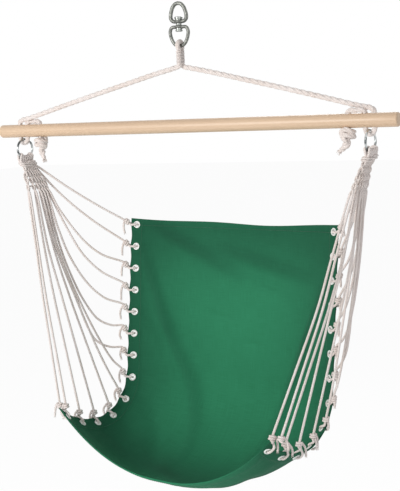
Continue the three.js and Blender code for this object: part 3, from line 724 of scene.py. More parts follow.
def forged_finish():
    """Forged and plated grey steel, mottled, with darker scale in its hollows."""
    f = Finish("forged_steel", 0.38, 1.0)
    where = f.place()
    mottle = f.noise(where, 170, 5, 0.62)
    pits = f.noise(where, 900, 2, 0.6)
    f.feed(Base_Color=f.ramp(mottle, (0.3, FORGED_SCALE), (0.55, FORGED), (0.8, FORGED_WORN)))
    f.feed(Roughness=f.ramp(mottle, (0.3, grey(0.6)), (0.7, grey(0.42))))
    f.feed(Normal=f.bump(pits, 0.25, 0.0003, f.bump(mottle, 0.3, 0.0006)))
    return f.material


def turned_finish():
    """The swivel's turned pin: brighter, with fine rings round its axis."""
    f = Finish("turned_steel", 0.28, 1.0)
    lines = f.noise(f.place(scale=(1, 1, 30)), 120, 2, 0.5)
    f.feed(Base_Color=f.ramp(lines, (0.3, TURNED_GROOVE), (0.7, TURNED)))
    f.feed(Roughness=f.ramp(lines, (0.3, grey(0.4)), (0.7, grey(0.2))))
    f.feed(Normal=f.bump(lines, 0.2, 0.0002))
    return f.material


def ring_finish():
    """Bright plated ring wire, mottled at random, with painted dark reflections in its rougher patches."""
    f = Finish("bright_ring_steel", 0.14, 1.0)
    painted_reflection_and_wear = f.noise(f.place(), 75, 4, 0.6)
    f.feed(Base_Color=f.ramp(painted_reflection_and_wear, (0.36, RING_PAINTED_DARK_REFLECTION), (0.47, RING_DULL), (0.62, RING_BRIGHT)))
    f.feed(Roughness=f.ramp(painted_reflection_and_wear, (0.35, grey(0.34)), (0.62, grey(0.1))))
    f.feed(Normal=f.bump(painted_reflection_and_wear, 0.08, 0.0002))
    return f.material


def eyelet_finish():
    """White enamelled eyelets, a little scuffed."""
    f = Finish("white_eyelet_enamel", 0.3)
    f.shader.inputs["Coat Weight"].default_value = 0.3
    f.shader.inputs["Coat Roughness"].default_value = 0.15
    scuff = f.noise(f.place(), 420, 4, 0.65)
    f.feed(Base_Color=f.ramp(scuff, (0.3, ENAMEL_SCUFF), (0.5, ENAMEL)))
    f.feed(Roughness=f.ramp(scuff, (0.32, grey(0.5)), (0.6, grey(0.24))))
    f.feed(Normal=f.bump(scuff, 0.06, 0.0002))
    return f.material


rope_cotton = cotton_finish("rope_cotton", 620)
cord_cotton = cotton_finish("cord_cotton", 900)
whipping_cotton = cotton_finish("whipping_cotton", 420, WHIPPING_SHADE)
green_canvas = canvas_finish()
sewing_thread = thread_finish()
pale_beech = beech_finish()
forged_steel = forged_finish()
turned_steel = turned_finish()
bright_ring_steel = ring_finish()
white_enamel = eyelet_finish()


# Making pieces

def link(name, data):
    made = bpy.data.objects.new(name, data)
    bpy.context.scene.collection.objects.link(made)
    return made


def settled(source):
    """A mesh with the object's modifiers in it."""
    bpy.context.view_layer.update()
    graph = bpy.context.evaluated_depsgraph_get()
    return bpy.data.meshes.new_from_object(source.evaluated_get(graph))


def discard(*objects):
    for o in objects:
        bpy.data.objects.remove(o, do_unlink=True)


def finish_piece(name, mesh, finish, body, nodes, sharp=None):
    """Brings a mesh to metres and makes it a piece that rides on its body and stands for its nodes."""
    mesh.name = name
    mesh.transform(Matrix.Scale(METRES, 4))
    mesh.materials.clear()
    mesh.materials.append(finish)
    mesh.polygons.foreach_set("material_index", [0] * len(mesh.polygons))
    mesh.shade_smooth()
    if sharp is not None:
        mesh.set_sharp_from_angle(angle=math.radians(sharp))
    piece = link(name, mesh)
    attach(piece, body)
    if nodes:
        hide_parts(*nodes)
    return piece


def mesh_of(bm):
    """A mesh with its doubled points merged and its faces outwards."""
    bmesh.ops.remove_doubles(bm, verts=bm.verts, dist=1e-4)
    bmesh.ops.recalc_face_normals(bm, faces=bm.faces)
    mesh = bpy.data.meshes.new("made")
    bm.to_mesh(mesh)
    bm.free()
    return mesh


def new_curve(name, bevel_radius=0.0, bevel_steps=0):
    """A curve that a radius, where one is given, makes a round wire."""
    data = bpy.data.curves.new(name, "CURVE")
    data.dimensions = "3D"
    data.bevel_depth = bevel_radius
    data.bevel_resolution = bevel_steps
    return data


def curve_mesh(name, data):
    carrier = link(name, data)
    mesh = settled(carrier)
    discard(carrier)
    return mesh


def evened(radii, rounds):
    """The radii with their steps smoothed out."""
    for _ in range(rounds):
        radii = [radii[0], *[(a + b + c) / 3 for a, b, c in zip(radii, radii[1:], radii[2:])], radii[-1]]
    return radii


OUTLINES = {}


def strand_outline(strands, sides, hollow):
    """The outline of a laid cord across its length: a round with a hollow between each two strands."""
    if (strands, sides, hollow) not in OUTLINES:
        data = bpy.data.curves.new("cord_outline", "CURVE")
        data.dimensions = "2D"
        spline = data.splines.new("POLY")
        spline.points.add(sides - 1)
        for i, point in enumerate(spline.points):
            angle = 2 * math.pi * i / sides
            radius = 1.1 - hollow * (1 - abs(math.cos(strands * angle / 2)) ** 0.75)
            point.co = (radius * math.cos(angle), radius * math.sin(angle), 0, 1)
        spline.use_cyclic_u = True
        OUTLINES[strands, sides, hollow] = link(f"cord_outline_{strands}_{sides}", data)
    return OUTLINES[strands, sides, hollow]


def laid_cord(line, radius, lay, strands=3, sides=18, radii=None, hollow=0.21):
    """A mesh of laid cord along a line: the outline turns once in each length of lay."""
    data = new_curve("laid_cord")
    data.bevel_mode = "OBJECT"
    data.bevel_object = strand_outline(strands, sides, hollow)
    data.use_fill_caps = True
    data.twist_mode = "MINIMUM"
    spline = data.splines.new("POLY")
    spline.points.add(len(line) - 1)
    walked = 0
    for i, (point, place) in enumerate(zip(spline.points, line)):
        walked += (place - line[i - 1]).length if i else 0
        point.co = (*place, 1)
        point.tilt = 2 * math.pi * walked / lay
        point.radius = radius if radii is None else radii[i]
    return curve_mesh("laid_cord", data)


def joined(*meshes):
    bm = bmesh.new()
    for mesh in meshes:
        bm.from_mesh(mesh)
    result = bpy.data.meshes.new("joined")
    bm.to_mesh(result)
    bm.free()
    return result


def frayed_end(place, direction, count, length, radius, spread, seed):
    """Loose yarns at a cut cord's end, each its own fine tapering curve."""
    rng = random.Random(seed)
    data = new_curve("yarns", radius, 1)
    data.use_fill_caps = True
    side_way = direction.orthogonal().normalized()
    other_way = direction.cross(side_way)
    for i in range(count):
        angle = 2 * math.pi * (i + rng.random() * 0.6) / count
        out = side_way * math.cos(angle) + other_way * math.sin(angle)
        open_out = spread * (0.45 + 0.55 * rng.random())
        start = place - direction * length * 0.15 + out * spread * 0.25
        spline = data.splines.new("POLY")
        spline.points.add(5)
        long = length * (0.6 + 0.4 * rng.random())
        bend = rng.uniform(-0.3, 0.3)
        for k, point in enumerate(spline.points):
            share = k / 5
            where = start + direction * long * share + out * open_out * share**1.4 * 0.8
            where += out.cross(direction) * bend * long * share**2 + DOWN * long * 0.18 * share**2
            point.co = (*where, 1)
            point.radius = 1 - 0.55 * share
    return curve_mesh("yarns", data)


def winding(half_long, half_short, turns, pitch, steps):
    """A winding round a long core, climbing down steadily as it goes round."""
    line = []
    straight = half_long - half_short
    for i in range(turns * steps + 1):
        angle = 2 * math.pi * i / steps
        swing = math.sin(angle)
        end = math.copysign(min(1, abs(swing) * 3), swing)
        along = half_short * swing + straight * end
        line.append(Vector((half_short * math.cos(angle), along, -pitch * i / steps)))
    return line


# Swivel

def wire_loop(outline, radius):
    """Round wire bent to a closed outline."""
    data = new_curve("wire_loop", radius, 8)
    spline = data.splines.new("POLY")
    closed = smooth_line([*outline, outline[0]], 1.2)[:-1]
    spline.points.add(len(closed) - 1)
    for point, place in zip(spline.points, closed):
        point.co = (*place, 1)
    spline.use_cyclic_u = True
    return curve_mesh("wire_loop", data)


def spun(profile, steps):
    """A closed profile of radius and height, spun round the vertical."""
    bm = bmesh.new()
    verts = [bm.verts.new((r, 0, z)) for r, z in profile]
    edges = [bm.edges.new((a, b)) for a, b in zip(verts, verts[1:])]
    bmesh.ops.spin(
        bm, geom=[*verts, *edges], cent=(0, 0, 0), axis=(0, 0, 1), angle=2 * math.pi,
        steps=steps, use_merge=True,
    )
    bmesh.ops.remove_doubles(bm, verts=bm.verts, dist=1e-3)
    return bm


def fused(meshes, rounds):
    """Several bodies run together as a forging: remeshed as one skin, then smoothed where they meet."""
    carrier = link("forging", joined(*meshes))
    remesh = carrier.modifiers.new("skin", "REMESH")
    remesh.mode = "VOXEL"
    remesh.voxel_size = FORGING_VOXEL
    smooth = carrier.modifiers.new("flow", "SMOOTH")
    smooth.factor = 0.5
    smooth.iterations = rounds
    mesh = settled(carrier)
    discard(carrier)
    return mesh


# Outlines of the eyes' right halves: share of half the width, and share of the way down
UPPER_EYE_SHARES = (
    (0, 0), (0.36, 0.045), (0.68, 0.2), (0.88, 0.42), (0.99, 0.65), (0.97, 0.83), (0.74, 0.96), (0.3, 1),
)
LOWER_EYE_SHARES = ((0.2, 0.02), (0.8, 0.04), (1, 0.24), (0.93, 0.52), (0.7, 0.8), (0.42, 0.955), (0.14, 1))


def upper_eye():
    top_z = UPPER_EYE_WIRE / 2
    half = UPPER_EYE_WIDTH / 2
    right = [Vector((half * w, 0, top_z - UPPER_EYE_HEIGHT * fall)) for w, fall in UPPER_EYE_SHARES]
    left = [Vector((-p.x, 0, p.z)) for p in reversed(right[1:])]
    loop = wire_loop([*right, *left], UPPER_EYE_WIRE / 2 - 0.1)
    top = EYE_BASE_Z + 0.4
    bottom = UPPER_BOSS_BOTTOM
    rim = BOSS_RADIUS
    boss = mesh_of(spun([
        (0, top), (rim - 1, top), (rim + 0.6, top - 1.6), (rim + 0.9, (top + bottom) / 2),
        (rim, bottom + 1.4), (rim - 1.2, bottom), (0, bottom),
    ], 40))
    mesh = fused([loop, boss], 10)
    nodes = ["swivel_upper_eye"]
    finish_piece("upper_eye_forging", mesh, forged_steel, "upper_eye", nodes)


def lower_eye():
    top_z = LOWER_BOSS_TOP - LOWER_EYE_WIRE / 2
    half = LOWER_EYE_WIDTH / 2
    drop = top_z - SWIVEL_WIRE_Z
    right = [Vector((half * w, 0, top_z - drop * fall)) for w, fall in LOWER_EYE_SHARES]
    left = [Vector((-p.x, 0, p.z)) for p in reversed(right)]
    loop = wire_loop([*right, *left], LOWER_EYE_WIRE / 2 + 0.12)
    top = LOWER_BOSS_TOP
    bottom = LOWER_BOSS_TOP - LOWER_BOSS_HEIGHT
    rim = BOSS_RADIUS
    boss = mesh_of(spun([
        (0, top), (rim - 1.5, top), (rim, top - 1.3), (rim + 0.5, (top + bottom) / 2),
        (rim - 0.2, bottom + 1), (rim - 1.2, bottom), (0, bottom),
    ], 40))
    mesh = fused([loop, boss], 8)
    nodes = ["swivel_lower_eye"]
    finish_piece("lower_eye_forging", mesh, forged_steel, "lower_swivel", nodes)


def swivel_pin():
    """Turned from the riveted tail, with its two grooves, up through the collar to the riveted head."""
    head = EYE_BASE_Z + FIT
    tail = LOWER_BOSS_TOP - LOWER_BOSS_HEIGHT - FIT
    collar_top = UPPER_BOSS_BOTTOM - FIT
    collar_bottom = LOWER_BOSS_TOP + FIT
    tip = tail - PIN_TAIL_HEIGHT
    top = head + PIN_HEAD_HEIGHT
    tail_rim = PIN_TAIL_RADIUS
    head_rim = PIN_HEAD_RADIUS
    collar = PIN_COLLAR_RADIUS
    profile = [
        (0, tip), (tail_rim - 2.2, tip), (tail_rim - 0.7, tip + 0.7), (tail_rim, tip + 2.2),
        (tail_rim, tail - 3.4), (tail_rim - 1.3, tail - 2.8), (tail_rim - 1.3, tail - 2.2),
        (tail_rim - 0.2, tail - 1.6), (tail_rim - 0.2, tail), (PIN_RADIUS, tail), (PIN_RADIUS, collar_bottom),
        (collar, collar_bottom), (collar + 0.4, (collar_top + collar_bottom) / 2), (collar, collar_top),
        (PIN_RADIUS, collar_top), (PIN_RADIUS, head), (head_rim - 1.2, head), (head_rim - 1.2, head + 1.6),
        (head_rim - 0.2, head + 2.3), (head_rim, head + 3), (head_rim, top - 1.4),
        (head_rim - 0.5, top - 0.5), (head_rim - 1.6, top), (0, top),
    ]
    mesh = mesh_of(spun(profile, 48))
    nodes = ["swivel_pin"]
    finish_piece("swivel_rivet", mesh, turned_steel, "lower_swivel", nodes, sharp=38)


# Suspension rope

def rope_side(side, points, shift=0):
    return [Vector((side * (x + shift), side * y, z)) for x, y, z in points]


def whipping_grip(place):
    """How much of its thickness the rope keeps at a place, drawn in by the whipping's turns."""
    top = SWIVEL_WIRE_Z - LOWER_EYE_WIRE
    bottom = top - WHIPPING_TURNS * WHIPPING_PITCH - 6
    below_top = min(1, max(0, (top - place.z) / 5))
    above_bottom = min(1, max(0, (place.z - bottom) / 5))
    return 1 - (1 - WHIPPING_SQUEEZE) * below_top * above_bottom


def swivel_loop():
    """The rope's middle, over the lower eye, down through the whipping and out at the fork."""
    half = smooth_line(rope_side(1, ROPE_LEG[:FORK_POINTS]), 1.2)
    other = smooth_line(rope_side(-1, ROPE_LEG[:FORK_POINTS]), 1.2)
    line = [*reversed(other[1:]), *half]
    grips = [whipping_grip(p) for p in line]
    line = [Vector((p.x, p.y * grip, p.z)) for p, grip in zip(line, grips)]
    radii = []
    for p, grip in zip(line, grips):
        over_eye = EYE_SQUEEZE if p.z > SWIVEL_WIRE_Z - EYE_REACH else 1
        radii.append(ROPE_RADIUS * min(grip, over_eye))
    mesh = laid_cord(line, ROPE_RADIUS, ROPE_LAY, sides=30, radii=radii, hollow=ROPE_HOLLOW)
    finish_piece("swivel_rope_loop", mesh, rope_cotton, "hanger", ["suspension_rope"])


def leg_line(side):
    return smooth_line([*rope_side(side, ROPE_LEG), *rope_side(side, ROPE_LACING, RING_X)], 1.4)


def turn_down(line):
    """The first place where the rope turns down towards the bar's outer hole."""
    return next(i for i, p in enumerate(line) if abs(p.x) > RING_X - 4)


def rope_leg(word, side):
    """One leg, from the fork under the whipping to where it turns down over the bar."""
    line = leg_line(side)
    fork_x = abs(ROPE_LEG[FORK_POINTS - 1][0])
    line = [p for p in line[:turn_down(line)] if abs(p.x) > fork_x - 1]
    mesh = laid_cord(line, ROPE_RADIUS, ROPE_LAY, sides=30, hollow=ROPE_HOLLOW)
    name = word + "_rope_leg"
    piece = finish_piece(name, mesh, rope_cotton, "hanger", ["suspension_rope"])


def stopper_turns(side, knot_x, knot_bottom, wrap):
    """The rope's way round its own end in the stopper knot, climbing as it goes."""
    steps = 18
    climb = STOPPER_LENGTH - 10.5
    places = []
    for i in range(steps + 1):
        angle = math.pi + 2 * math.pi * STOPPER_TURNS * i / steps
        height = knot_bottom + 8 + (climb + 4 * math.sin(angle) ** 2) * i / steps
        x = knot_x + side * wrap * math.cos(angle)
        places.append(Vector((x, -side * wrap * math.sin(angle), height)))
    return places


def rope_lacing(word, side):
    """Round the ring's loop, up the middle hole, then down the third to the stopper knot and its tail."""
    knot_x = side * KNOT_HOLE_X
    knot_top = BAR_Z - BAR_RADIUS - FIT - ROPE_RADIUS / 2
    knot_bottom = knot_top - STOPPER_LENGTH
    wrap = STOPPER_RADIUS - ROPE_RADIUS * 0.25
    controls = [
        Vector((knot_x, 0, knot_top - 8)),
        Vector((knot_x - side, 0, knot_bottom + 9)),
        Vector((knot_x - side * 4, side * 3, knot_bottom + 4)),
        *stopper_turns(side, knot_x, knot_bottom, wrap),
    ]
    last = controls[-1]
    out = Vector((last.x - knot_x, last.y, 0)).normalized()
    onward = Vector((-out.y, out.x, 0)) * -side
    controls.append(last + out * 2 + onward * 6 + DOWN * 7)
    controls.append(Vector((knot_x, 0, knot_bottom + 5)) + out * (wrap * 0.75))
    controls += rope_side(side, ROPE_TAILS[side], RING_X)
    run = leg_line(side)
    line = [*run[turn_down(run) - 2:-1], *smooth_line([run[-1], *controls], 1.3)]
    radii = []
    for i, p in enumerate(line):
        in_knot = math.hypot(p.x - knot_x, p.y) < wrap + 4 and knot_bottom < p.z < knot_top
        if in_knot:
            keep = STOPPER_SQUEEZE
        elif p.z < knot_bottom:
            opened = 1.34 + 0.2 * math.sin(i * 0.62)
            keep = opened * min(1, 0.4 + (len(line) - i) / 20)
        else:
            keep = 1
        radii.append(ROPE_RADIUS * keep)
    radii = evened(radii, 2)
    mesh = laid_cord(line, ROPE_RADIUS, ROPE_LAY, sides=30, radii=radii, hollow=ROPE_HOLLOW)
    end_way = (line[-1] - line[-6]).normalized()
    yarns = frayed_end(
        line[-1] - end_way * 6, end_way, count=34, length=15, radius=0.8, spread=5.5, seed=3 + side,
    )
    name = word + "_rope_lacing"
    finish_piece(name, joined(mesh, yarns), rope_cotton, "hanger", ["suspension_rope"])


def rope_whipping():
    wrap = ROPE_RADIUS * WHIPPING_SQUEEZE + FIT + WHIPPING_CORD / 2
    half_long = ROPE_LEG_OFFSET * WHIPPING_SQUEEZE + wrap
    top = Vector((0, 0, SWIVEL_WIRE_Z - LOWER_EYE_WIRE - 2 * FIT - WHIPPING_CORD))
    line = [p + top for p in winding(half_long, wrap, WHIPPING_TURNS, WHIPPING_PITCH, 56)]
    line = smooth_line(line, 1.0)
    mesh = laid_cord(line, WHIPPING_CORD / 2 + 0.04, WHIPPING_LAY, strands=2, sides=12, hollow=0.12)
    finish_piece("whipping_turns", mesh, whipping_cotton, "hanger", ["rope_whipping"])


# Spreader bar

def on_end_rim(edge):
    """Whether an edge of the upright blank goes round one of its ends."""
    z, other_z = edge.verts[0].co.z, edge.verts[1].co.z
    return abs(abs(z) - BAR_LENGTH / 2) < 1e-3 and abs(z - other_z) < 1e-3


def drilled(blank, drills):
    """The blank's mesh with the drills' holes in it. Both are used up."""
    cut = blank.modifiers.new("holes", "BOOLEAN")
    cut.operation = "DIFFERENCE"
    cut.solver = "EXACT"
    cut.object = drills
    mesh = settled(blank)
    discard(blank, drills)
    return mesh


def spreader_bar():
    bm = bmesh.new()
    bmesh.ops.create_cone(
        bm, cap_ends=True, segments=72, radius1=BAR_RADIUS, radius2=BAR_RADIUS, depth=BAR_LENGTH,
    )
    rims = [e for e in bm.edges if on_end_rim(e)]
    bmesh.ops.bevel(
        bm, geom=rims, offset=BAR_CHAMFER * 1.25, segments=5, affect="EDGES", profile=0.5, material=-1,
    )
    for x in range(-450, 451, 50):
        whole = [*bm.verts, *bm.edges, *bm.faces]
        bmesh.ops.bisect_plane(bm, geom=whole, plane_co=(0, 0, x), plane_no=(0, 0, 1))
    lying = Matrix.Rotation(math.pi / 2, 3, "Y")
    bmesh.ops.rotate(bm, verts=bm.verts, cent=(0, 0, 0), matrix=lying)
    bmesh.ops.translate(bm, verts=bm.verts, vec=(0, 0, BAR_Z))
    bar = link("bar_blank", mesh_of(bm))
    drills = bmesh.new()
    for _, side in SIDES:
        for x in (OUTER_HOLE_X, MIDDLE_HOLE_X, KNOT_HOLE_X):
            made = bmesh.ops.create_cone(
                drills, cap_ends=True, segments=40, radius1=HOLE_RADIUS, radius2=HOLE_RADIUS,
                depth=DRILL_LENGTH,
            )
            bmesh.ops.translate(drills, verts=made["verts"], vec=(side * x, 0, BAR_Z))
    mesh = drilled(bar, link("bar_drills", mesh_of(drills)))
    finish_piece("beech_bar", mesh, pale_beech, "hanger", ["spreader_bar"], sharp=30)


# Rings

def ring(word, side):
    """Round wire, a little thicker where its ends are welded together."""
    bm = bmesh.new()
    bmesh.ops.create_circle(bm, segments=20, radius=RING_WIRE)
    standing = Matrix.Rotation(math.pi / 2, 3, "X")
    bmesh.ops.rotate(bm, verts=bm.verts, cent=(0, 0, 0), matrix=standing)
    bmesh.ops.translate(bm, verts=bm.verts, vec=(RING_RADIUS, 0, 0))
    bmesh.ops.spin(
        bm, geom=[*bm.verts, *bm.edges], cent=(0, 0, 0), axis=(0, 0, 1), angle=2 * math.pi,
        steps=96, use_merge=True,
    )
    for v in bm.verts:
        angle = math.atan2(v.co.y, v.co.x)
        from_weld = (angle - RING_WELD_ANGLE) * RING_RADIUS / RING_WELD_LENGTH
        middle = Vector((math.cos(angle), math.sin(angle), 0)) * RING_RADIUS
        v.co = middle + (v.co - middle) * (1 + RING_WELD_SWELL * math.exp(-(from_weld**2)))
    turn = Matrix.Rotation(-RING_TURN[side], 3, "Z") @ Matrix.Rotation(math.pi / 2, 3, "Y")
    bmesh.ops.rotate(bm, verts=bm.verts, cent=(0, 0, 0), matrix=turn)
    bmesh.ops.translate(bm, verts=bm.verts, vec=(side * RING_X, 0, RING_Z))
    name = word + "_steel_ring"
    finish_piece(name, mesh_of(bm), bright_ring_steel, word + "_ring", [word + "_ring"])


# Harness: the folds over the ring, the neck binding, the woven header, the strands and their knots

def ring_folds(word, side):
    """Each cord's fold over the ring, with both its legs down into the neck binding."""
    meshes = []
    reach = RING_WIRE + CORD_RADIUS + 2 * FIT
    for column in range(CORDS_PER_SIDE):
        tilt = ((CORDS_PER_SIDE - 1) / 2 - column) * FOLD_PITCH
        leg_ends = []
        for leg in (-1, 1):
            aside = neck_across(side) * leg * LEG_OFFSET
            heights = [RING_Z - NECK_START - NECK_LENGTH * s for s in (0.85, 0.35, 0)]
            leg_ends.append([neck_place(side, column, z) + aside for z in heights])
        over = []
        for share in (-1, -0.55, 0, 0.55, 1):
            angle = share * math.pi / 2
            radius = RING_RADIUS - reach * math.cos(angle)
            across = side * reach * math.sin(angle)
            z = RING_Z - radius * math.cos(tilt)
            over.append(from_ring(side, across, radius * math.sin(tilt), z))
        line = smooth_line([*leg_ends[0], *over, *reversed(leg_ends[1])], 0.9)
        middle = len(line) / 2
        radii = [CORD_RADIUS * (0.9 + 0.1 * min(1, abs(i - middle) / 14)) for i in range(len(line))]
        meshes.append(laid_cord(line, CORD_RADIUS, CORD_LAY, radii=radii))
    cords = [f"{word}_harness_cord_{i + 1}" for i in range(CORDS_PER_SIDE)]
    finish_piece(word + "_ring_folds", joined(*meshes), cord_cotton, "seat", cords)


def neck_binding(word, side):
    tight = CORD_RADIUS + BINDING_CORD / 2 + FIT
    half_long = (CORDS_PER_SIDE - 1) / 2 * NECK_PITCH + tight
    start = RING_Z - NECK_START - FIT - BINDING_CORD / 2
    line = []
    for p in winding(half_long, LEG_OFFSET + tight, BINDING_TURNS, BINDING_PITCH, 64):
        z = start + p.z
        line.append(from_ring(side, p.x, p.y, z) + neck_shift(side, z))
    mesh = laid_cord(smooth_line(line, 1.2), BINDING_CORD / 2 + 0.15, BINDING_LAY)
    finish_piece(word + "_neck_turns", mesh, cord_cotton, "seat", [word + "_neck_binding"])


def header_weave(word, side):
    """The cross cord of the header: it runs between the two legs of each column, row by row."""
    controls = []
    for row in range(1, HEADER_ROWS):
        share = row / HEADER_ROWS
        first_column = 0 if row == 1 else 1
        middles = [header_place(side, column, share)[0] for column in range(first_column, CORDS_PER_SIDE)]
        first = middles[0] + (middles[0] - middles[1]).normalized() * HEADER_WEAVE_REACH
        last = middles[-1] + (middles[-1] - middles[-2]).normalized() * HEADER_WEAVE_REACH
        row_points = [first, *middles, last]
        controls += row_points if row % 2 else list(reversed(row_points))
    line = smooth_line(controls, 1.1)
    mesh = laid_cord(line, CORD_RADIUS * 0.7, CORD_LAY * 0.8)
    finish_piece(word + "_header_weave", mesh, cord_cotton, "seat", [])


def eyelet_pass(side, index):
    """The strand's way over the hem, down through the eyelet and back out under the hem."""
    centre, outward, normal, reach = eyelet_frame(side, index)
    over = HEM_THICKNESS / 2 + EYELET_RISE + CORD_RADIUS + FIT
    return [
        centre + outward * (reach + 1) + normal * over * 0.92,
        centre + outward * CORD_RADIUS * 1.1 + normal * over,
        centre - outward * 0.4 + normal * over * 0.45,
        centre - outward * 0.4 - normal * over * 0.45,
        centre + outward * CORD_RADIUS * 1.1 - normal * over,
        centre + outward * (reach + 1) - normal * over * 0.92,
    ]


def end_knot(word, side, strand, knot, upward, aside):
    """Through the eyelet and back, then twice round the strand, with a cut tail."""
    rng = random.Random(40 * strand + side)
    controls = [knot + upward * 2, knot - upward * 4]
    wrap = CORD_RADIUS * 2.05
    if strand < EYELETS_PER_SIDE:
        controls += eyelet_pass(side, strand)
        first_way = -eyelet_frame(side, strand)[2]
    else:
        first_way = aside
    out_way = (first_way - upward * first_way.dot(upward)).normalized()
    round_way = upward.cross(out_way)
    steps = 20
    for i in range(steps + 1):
        angle = 2 * math.pi * KNOT_TURNS * i / steps
        rise = KNOT_RISE * (i / steps - 0.5)
        away_from_strand = out_way * math.cos(angle) + round_way * math.sin(angle)
        controls.append(knot + upward * rise + away_from_strand * wrap)
    last = controls[-1]
    out = (last - knot - upward * (last - knot).dot(upward)).normalized()
    tangent = upward.cross(out)
    away = (aside + tangent * 0.4).normalized()
    length = TAIL_LENGTH * (0.8 + 0.4 * rng.random())
    start = last + tangent * 2.6 + out * 0.8 + DOWN * 1.5
    sway = Vector((rng.uniform(-1, 1), rng.uniform(-1, 1), 0)) * 3
    throw = rng.uniform(3, 8)
    controls.append(start)
    controls.append(start + away * throw * 0.7 + DOWN * length * 0.2 + sway * 0.2)
    controls.append(start + away * throw + DOWN * length * 0.55 + sway * 0.6)
    controls.append(start + away * throw * rng.uniform(0.5, 1.1) + DOWN * length * 0.9 + sway)
    line = smooth_line(controls, 0.9)
    radii = []
    for p in line:
        off_axis = p - knot
        in_knot = abs(off_axis.dot(upward)) < 6 and off_axis.length < 8
        radii.append(CORD_RADIUS * (KNOT_SQUEEZE if in_knot else 1))
    radii = evened(radii, 4)
    mesh = laid_cord(line, CORD_RADIUS, CORD_LAY * 0.85, sides=16, radii=radii)
    end_way = (line[-1] - line[-5]).normalized()
    yarns = frayed_end(
        line[-1] - end_way * 1.2, end_way,
        count=12, length=6.5, radius=0.36, spread=3.0, seed=7 * strand + side,
    )
    name = f"{word}_knot_{strand + 1}"
    node = f"{word}_harness_cord_{strand // 2 + 1}"
    return finish_piece(name, joined(mesh, yarns), cord_cotton, "seat", [node])


def strand(word, side, number):
    """One leg of a cord, from the neck binding through the header, where it's drawn in, to its end knot."""
    knot, upward, aside, controls = strand_controls(side, number)
    line = smooth_line(controls, 1.5)
    radii = []
    walked = 0
    for i, p in enumerate(line):
        walked += (p - line[i - 1]).length if i else 0
        woven = number > 1 and 10 < walked < HEADER_LENGTH * 0.9
        radii.append(CORD_RADIUS * (WOVEN_SQUEEZE if woven else 1))
    radii = evened(radii, 5)
    mesh = laid_cord(line, CORD_RADIUS, CORD_LAY, radii=radii)
    name = f"{word}_strand_{number + 1}"
    node = f"{word}_harness_cord_{number // 2 + 1}"
    piece = finish_piece(name, mesh, cord_cotton, "seat", [node])
    tie = end_knot(word, side, number, knot, upward, aside)


# Seat cloth

def hem_rows():
    """Distances down the cloth for its rows of points, closer at the hems."""
    inside = HEM_WIDTH + HEM_STEP
    inner = SEAT_LENGTH - 2 * inside
    rows = [0, 1.5, 7, 13, HEM_WIDTH, inside]
    rows += [inside + inner * (i + 1) / CLOTH_ROWS for i in range(CLOTH_ROWS)]
    return rows + [SEAT_LENGTH - d for d in (HEM_WIDTH, 13, 7, 1.5, 0)]


def hem_columns():
    """Shares of half the width for the cloth's columns of points, closer at the side hems."""
    strip = 1 - STRIP_SHARE
    inside = STRIP_SHARE - STRIP_STEP
    edges = [1, 1 - strip * 0.06, 1 - strip * 0.3, 1 - strip * 0.55, 1 - strip * 0.8, STRIP_SHARE, inside]
    inner = [(-1 + 2 * i / CLOTH_COLUMNS) * inside for i in range(1, CLOTH_COLUMNS)]
    return [-e for e in edges] + inner + list(reversed(edges))


def cloth_wrinkle(distance, share):
    """Small ridges that run in from each eyelet and die out."""
    inward = (1 - abs(share)) * SEAT_WIDTH / 2
    strip = (1 - STRIP_SHARE) * SEAT_WIDTH / 2
    if inward < strip:
        return 0
    phase = math.cos(2 * math.pi * (distance - EYELET_FROM_HEM) / EYELET_PITCH)
    rise = 1 - math.exp(-(inward - strip) / 16)
    return WRINKLE_HEIGHT * phase * rise * math.exp(-(inward - strip) / 46)


def painted_cloth_shading(down_share, width_share):
    """Painted light and shade on the canvas: lightest in the open middle, darker towards the side edges, in
    creases, near the top and in the dip.
    """
    crease = max(0, -fold_at(FINE_FOLDS, down_share, width_share)) / (1.7 * FOLD_DEPTH)
    under_top_hem = math.exp(-((down_share / 0.17) ** 2))
    in_dip = math.exp(-(((down_share - 0.83) / 0.12) ** 2))
    middle = (1 - abs(width_share) ** 2.6) * (1 - 0.8 * under_top_hem) * (1 - 0.9 * in_dip)
    return min(1, max(0, 0.1 + 0.85 * middle - 0.35 * crease))


def sewn_place(distance, share, folds):
    """A place on the sewn cloth: wrinkled, drawn in between the eyelets, and sagging at its top edge."""
    normal = cloth_normal(distance, share, folds)
    between = 0
    if EYELET_FROM_HEM < distance < SEAT_LENGTH - EYELET_FROM_HEM:
        between = 0.5 - 0.5 * math.cos(2 * math.pi * (distance - EYELET_FROM_HEM) / EYELET_PITCH)
    near_edge = max(0, (abs(share) - STRIP_SHARE) / (1 - STRIP_SHARE))
    inward_way = -math.copysign(1, share) * across_cloth(distance, share, folds).normalized()
    inward = inward_way * SCALLOP_DEPTH * between * near_edge**2
    uneven = 1 + 0.5 * math.sin(5 * share)
    sag = TOP_EDGE_SAG * (1 - share**2) * math.exp(-distance / TOP_SAG_REACH) * uneven
    flat_place = cloth_surface(distance, share, folds)
    return flat_place + normal * cloth_wrinkle(distance, share) + inward + DOWN * sag


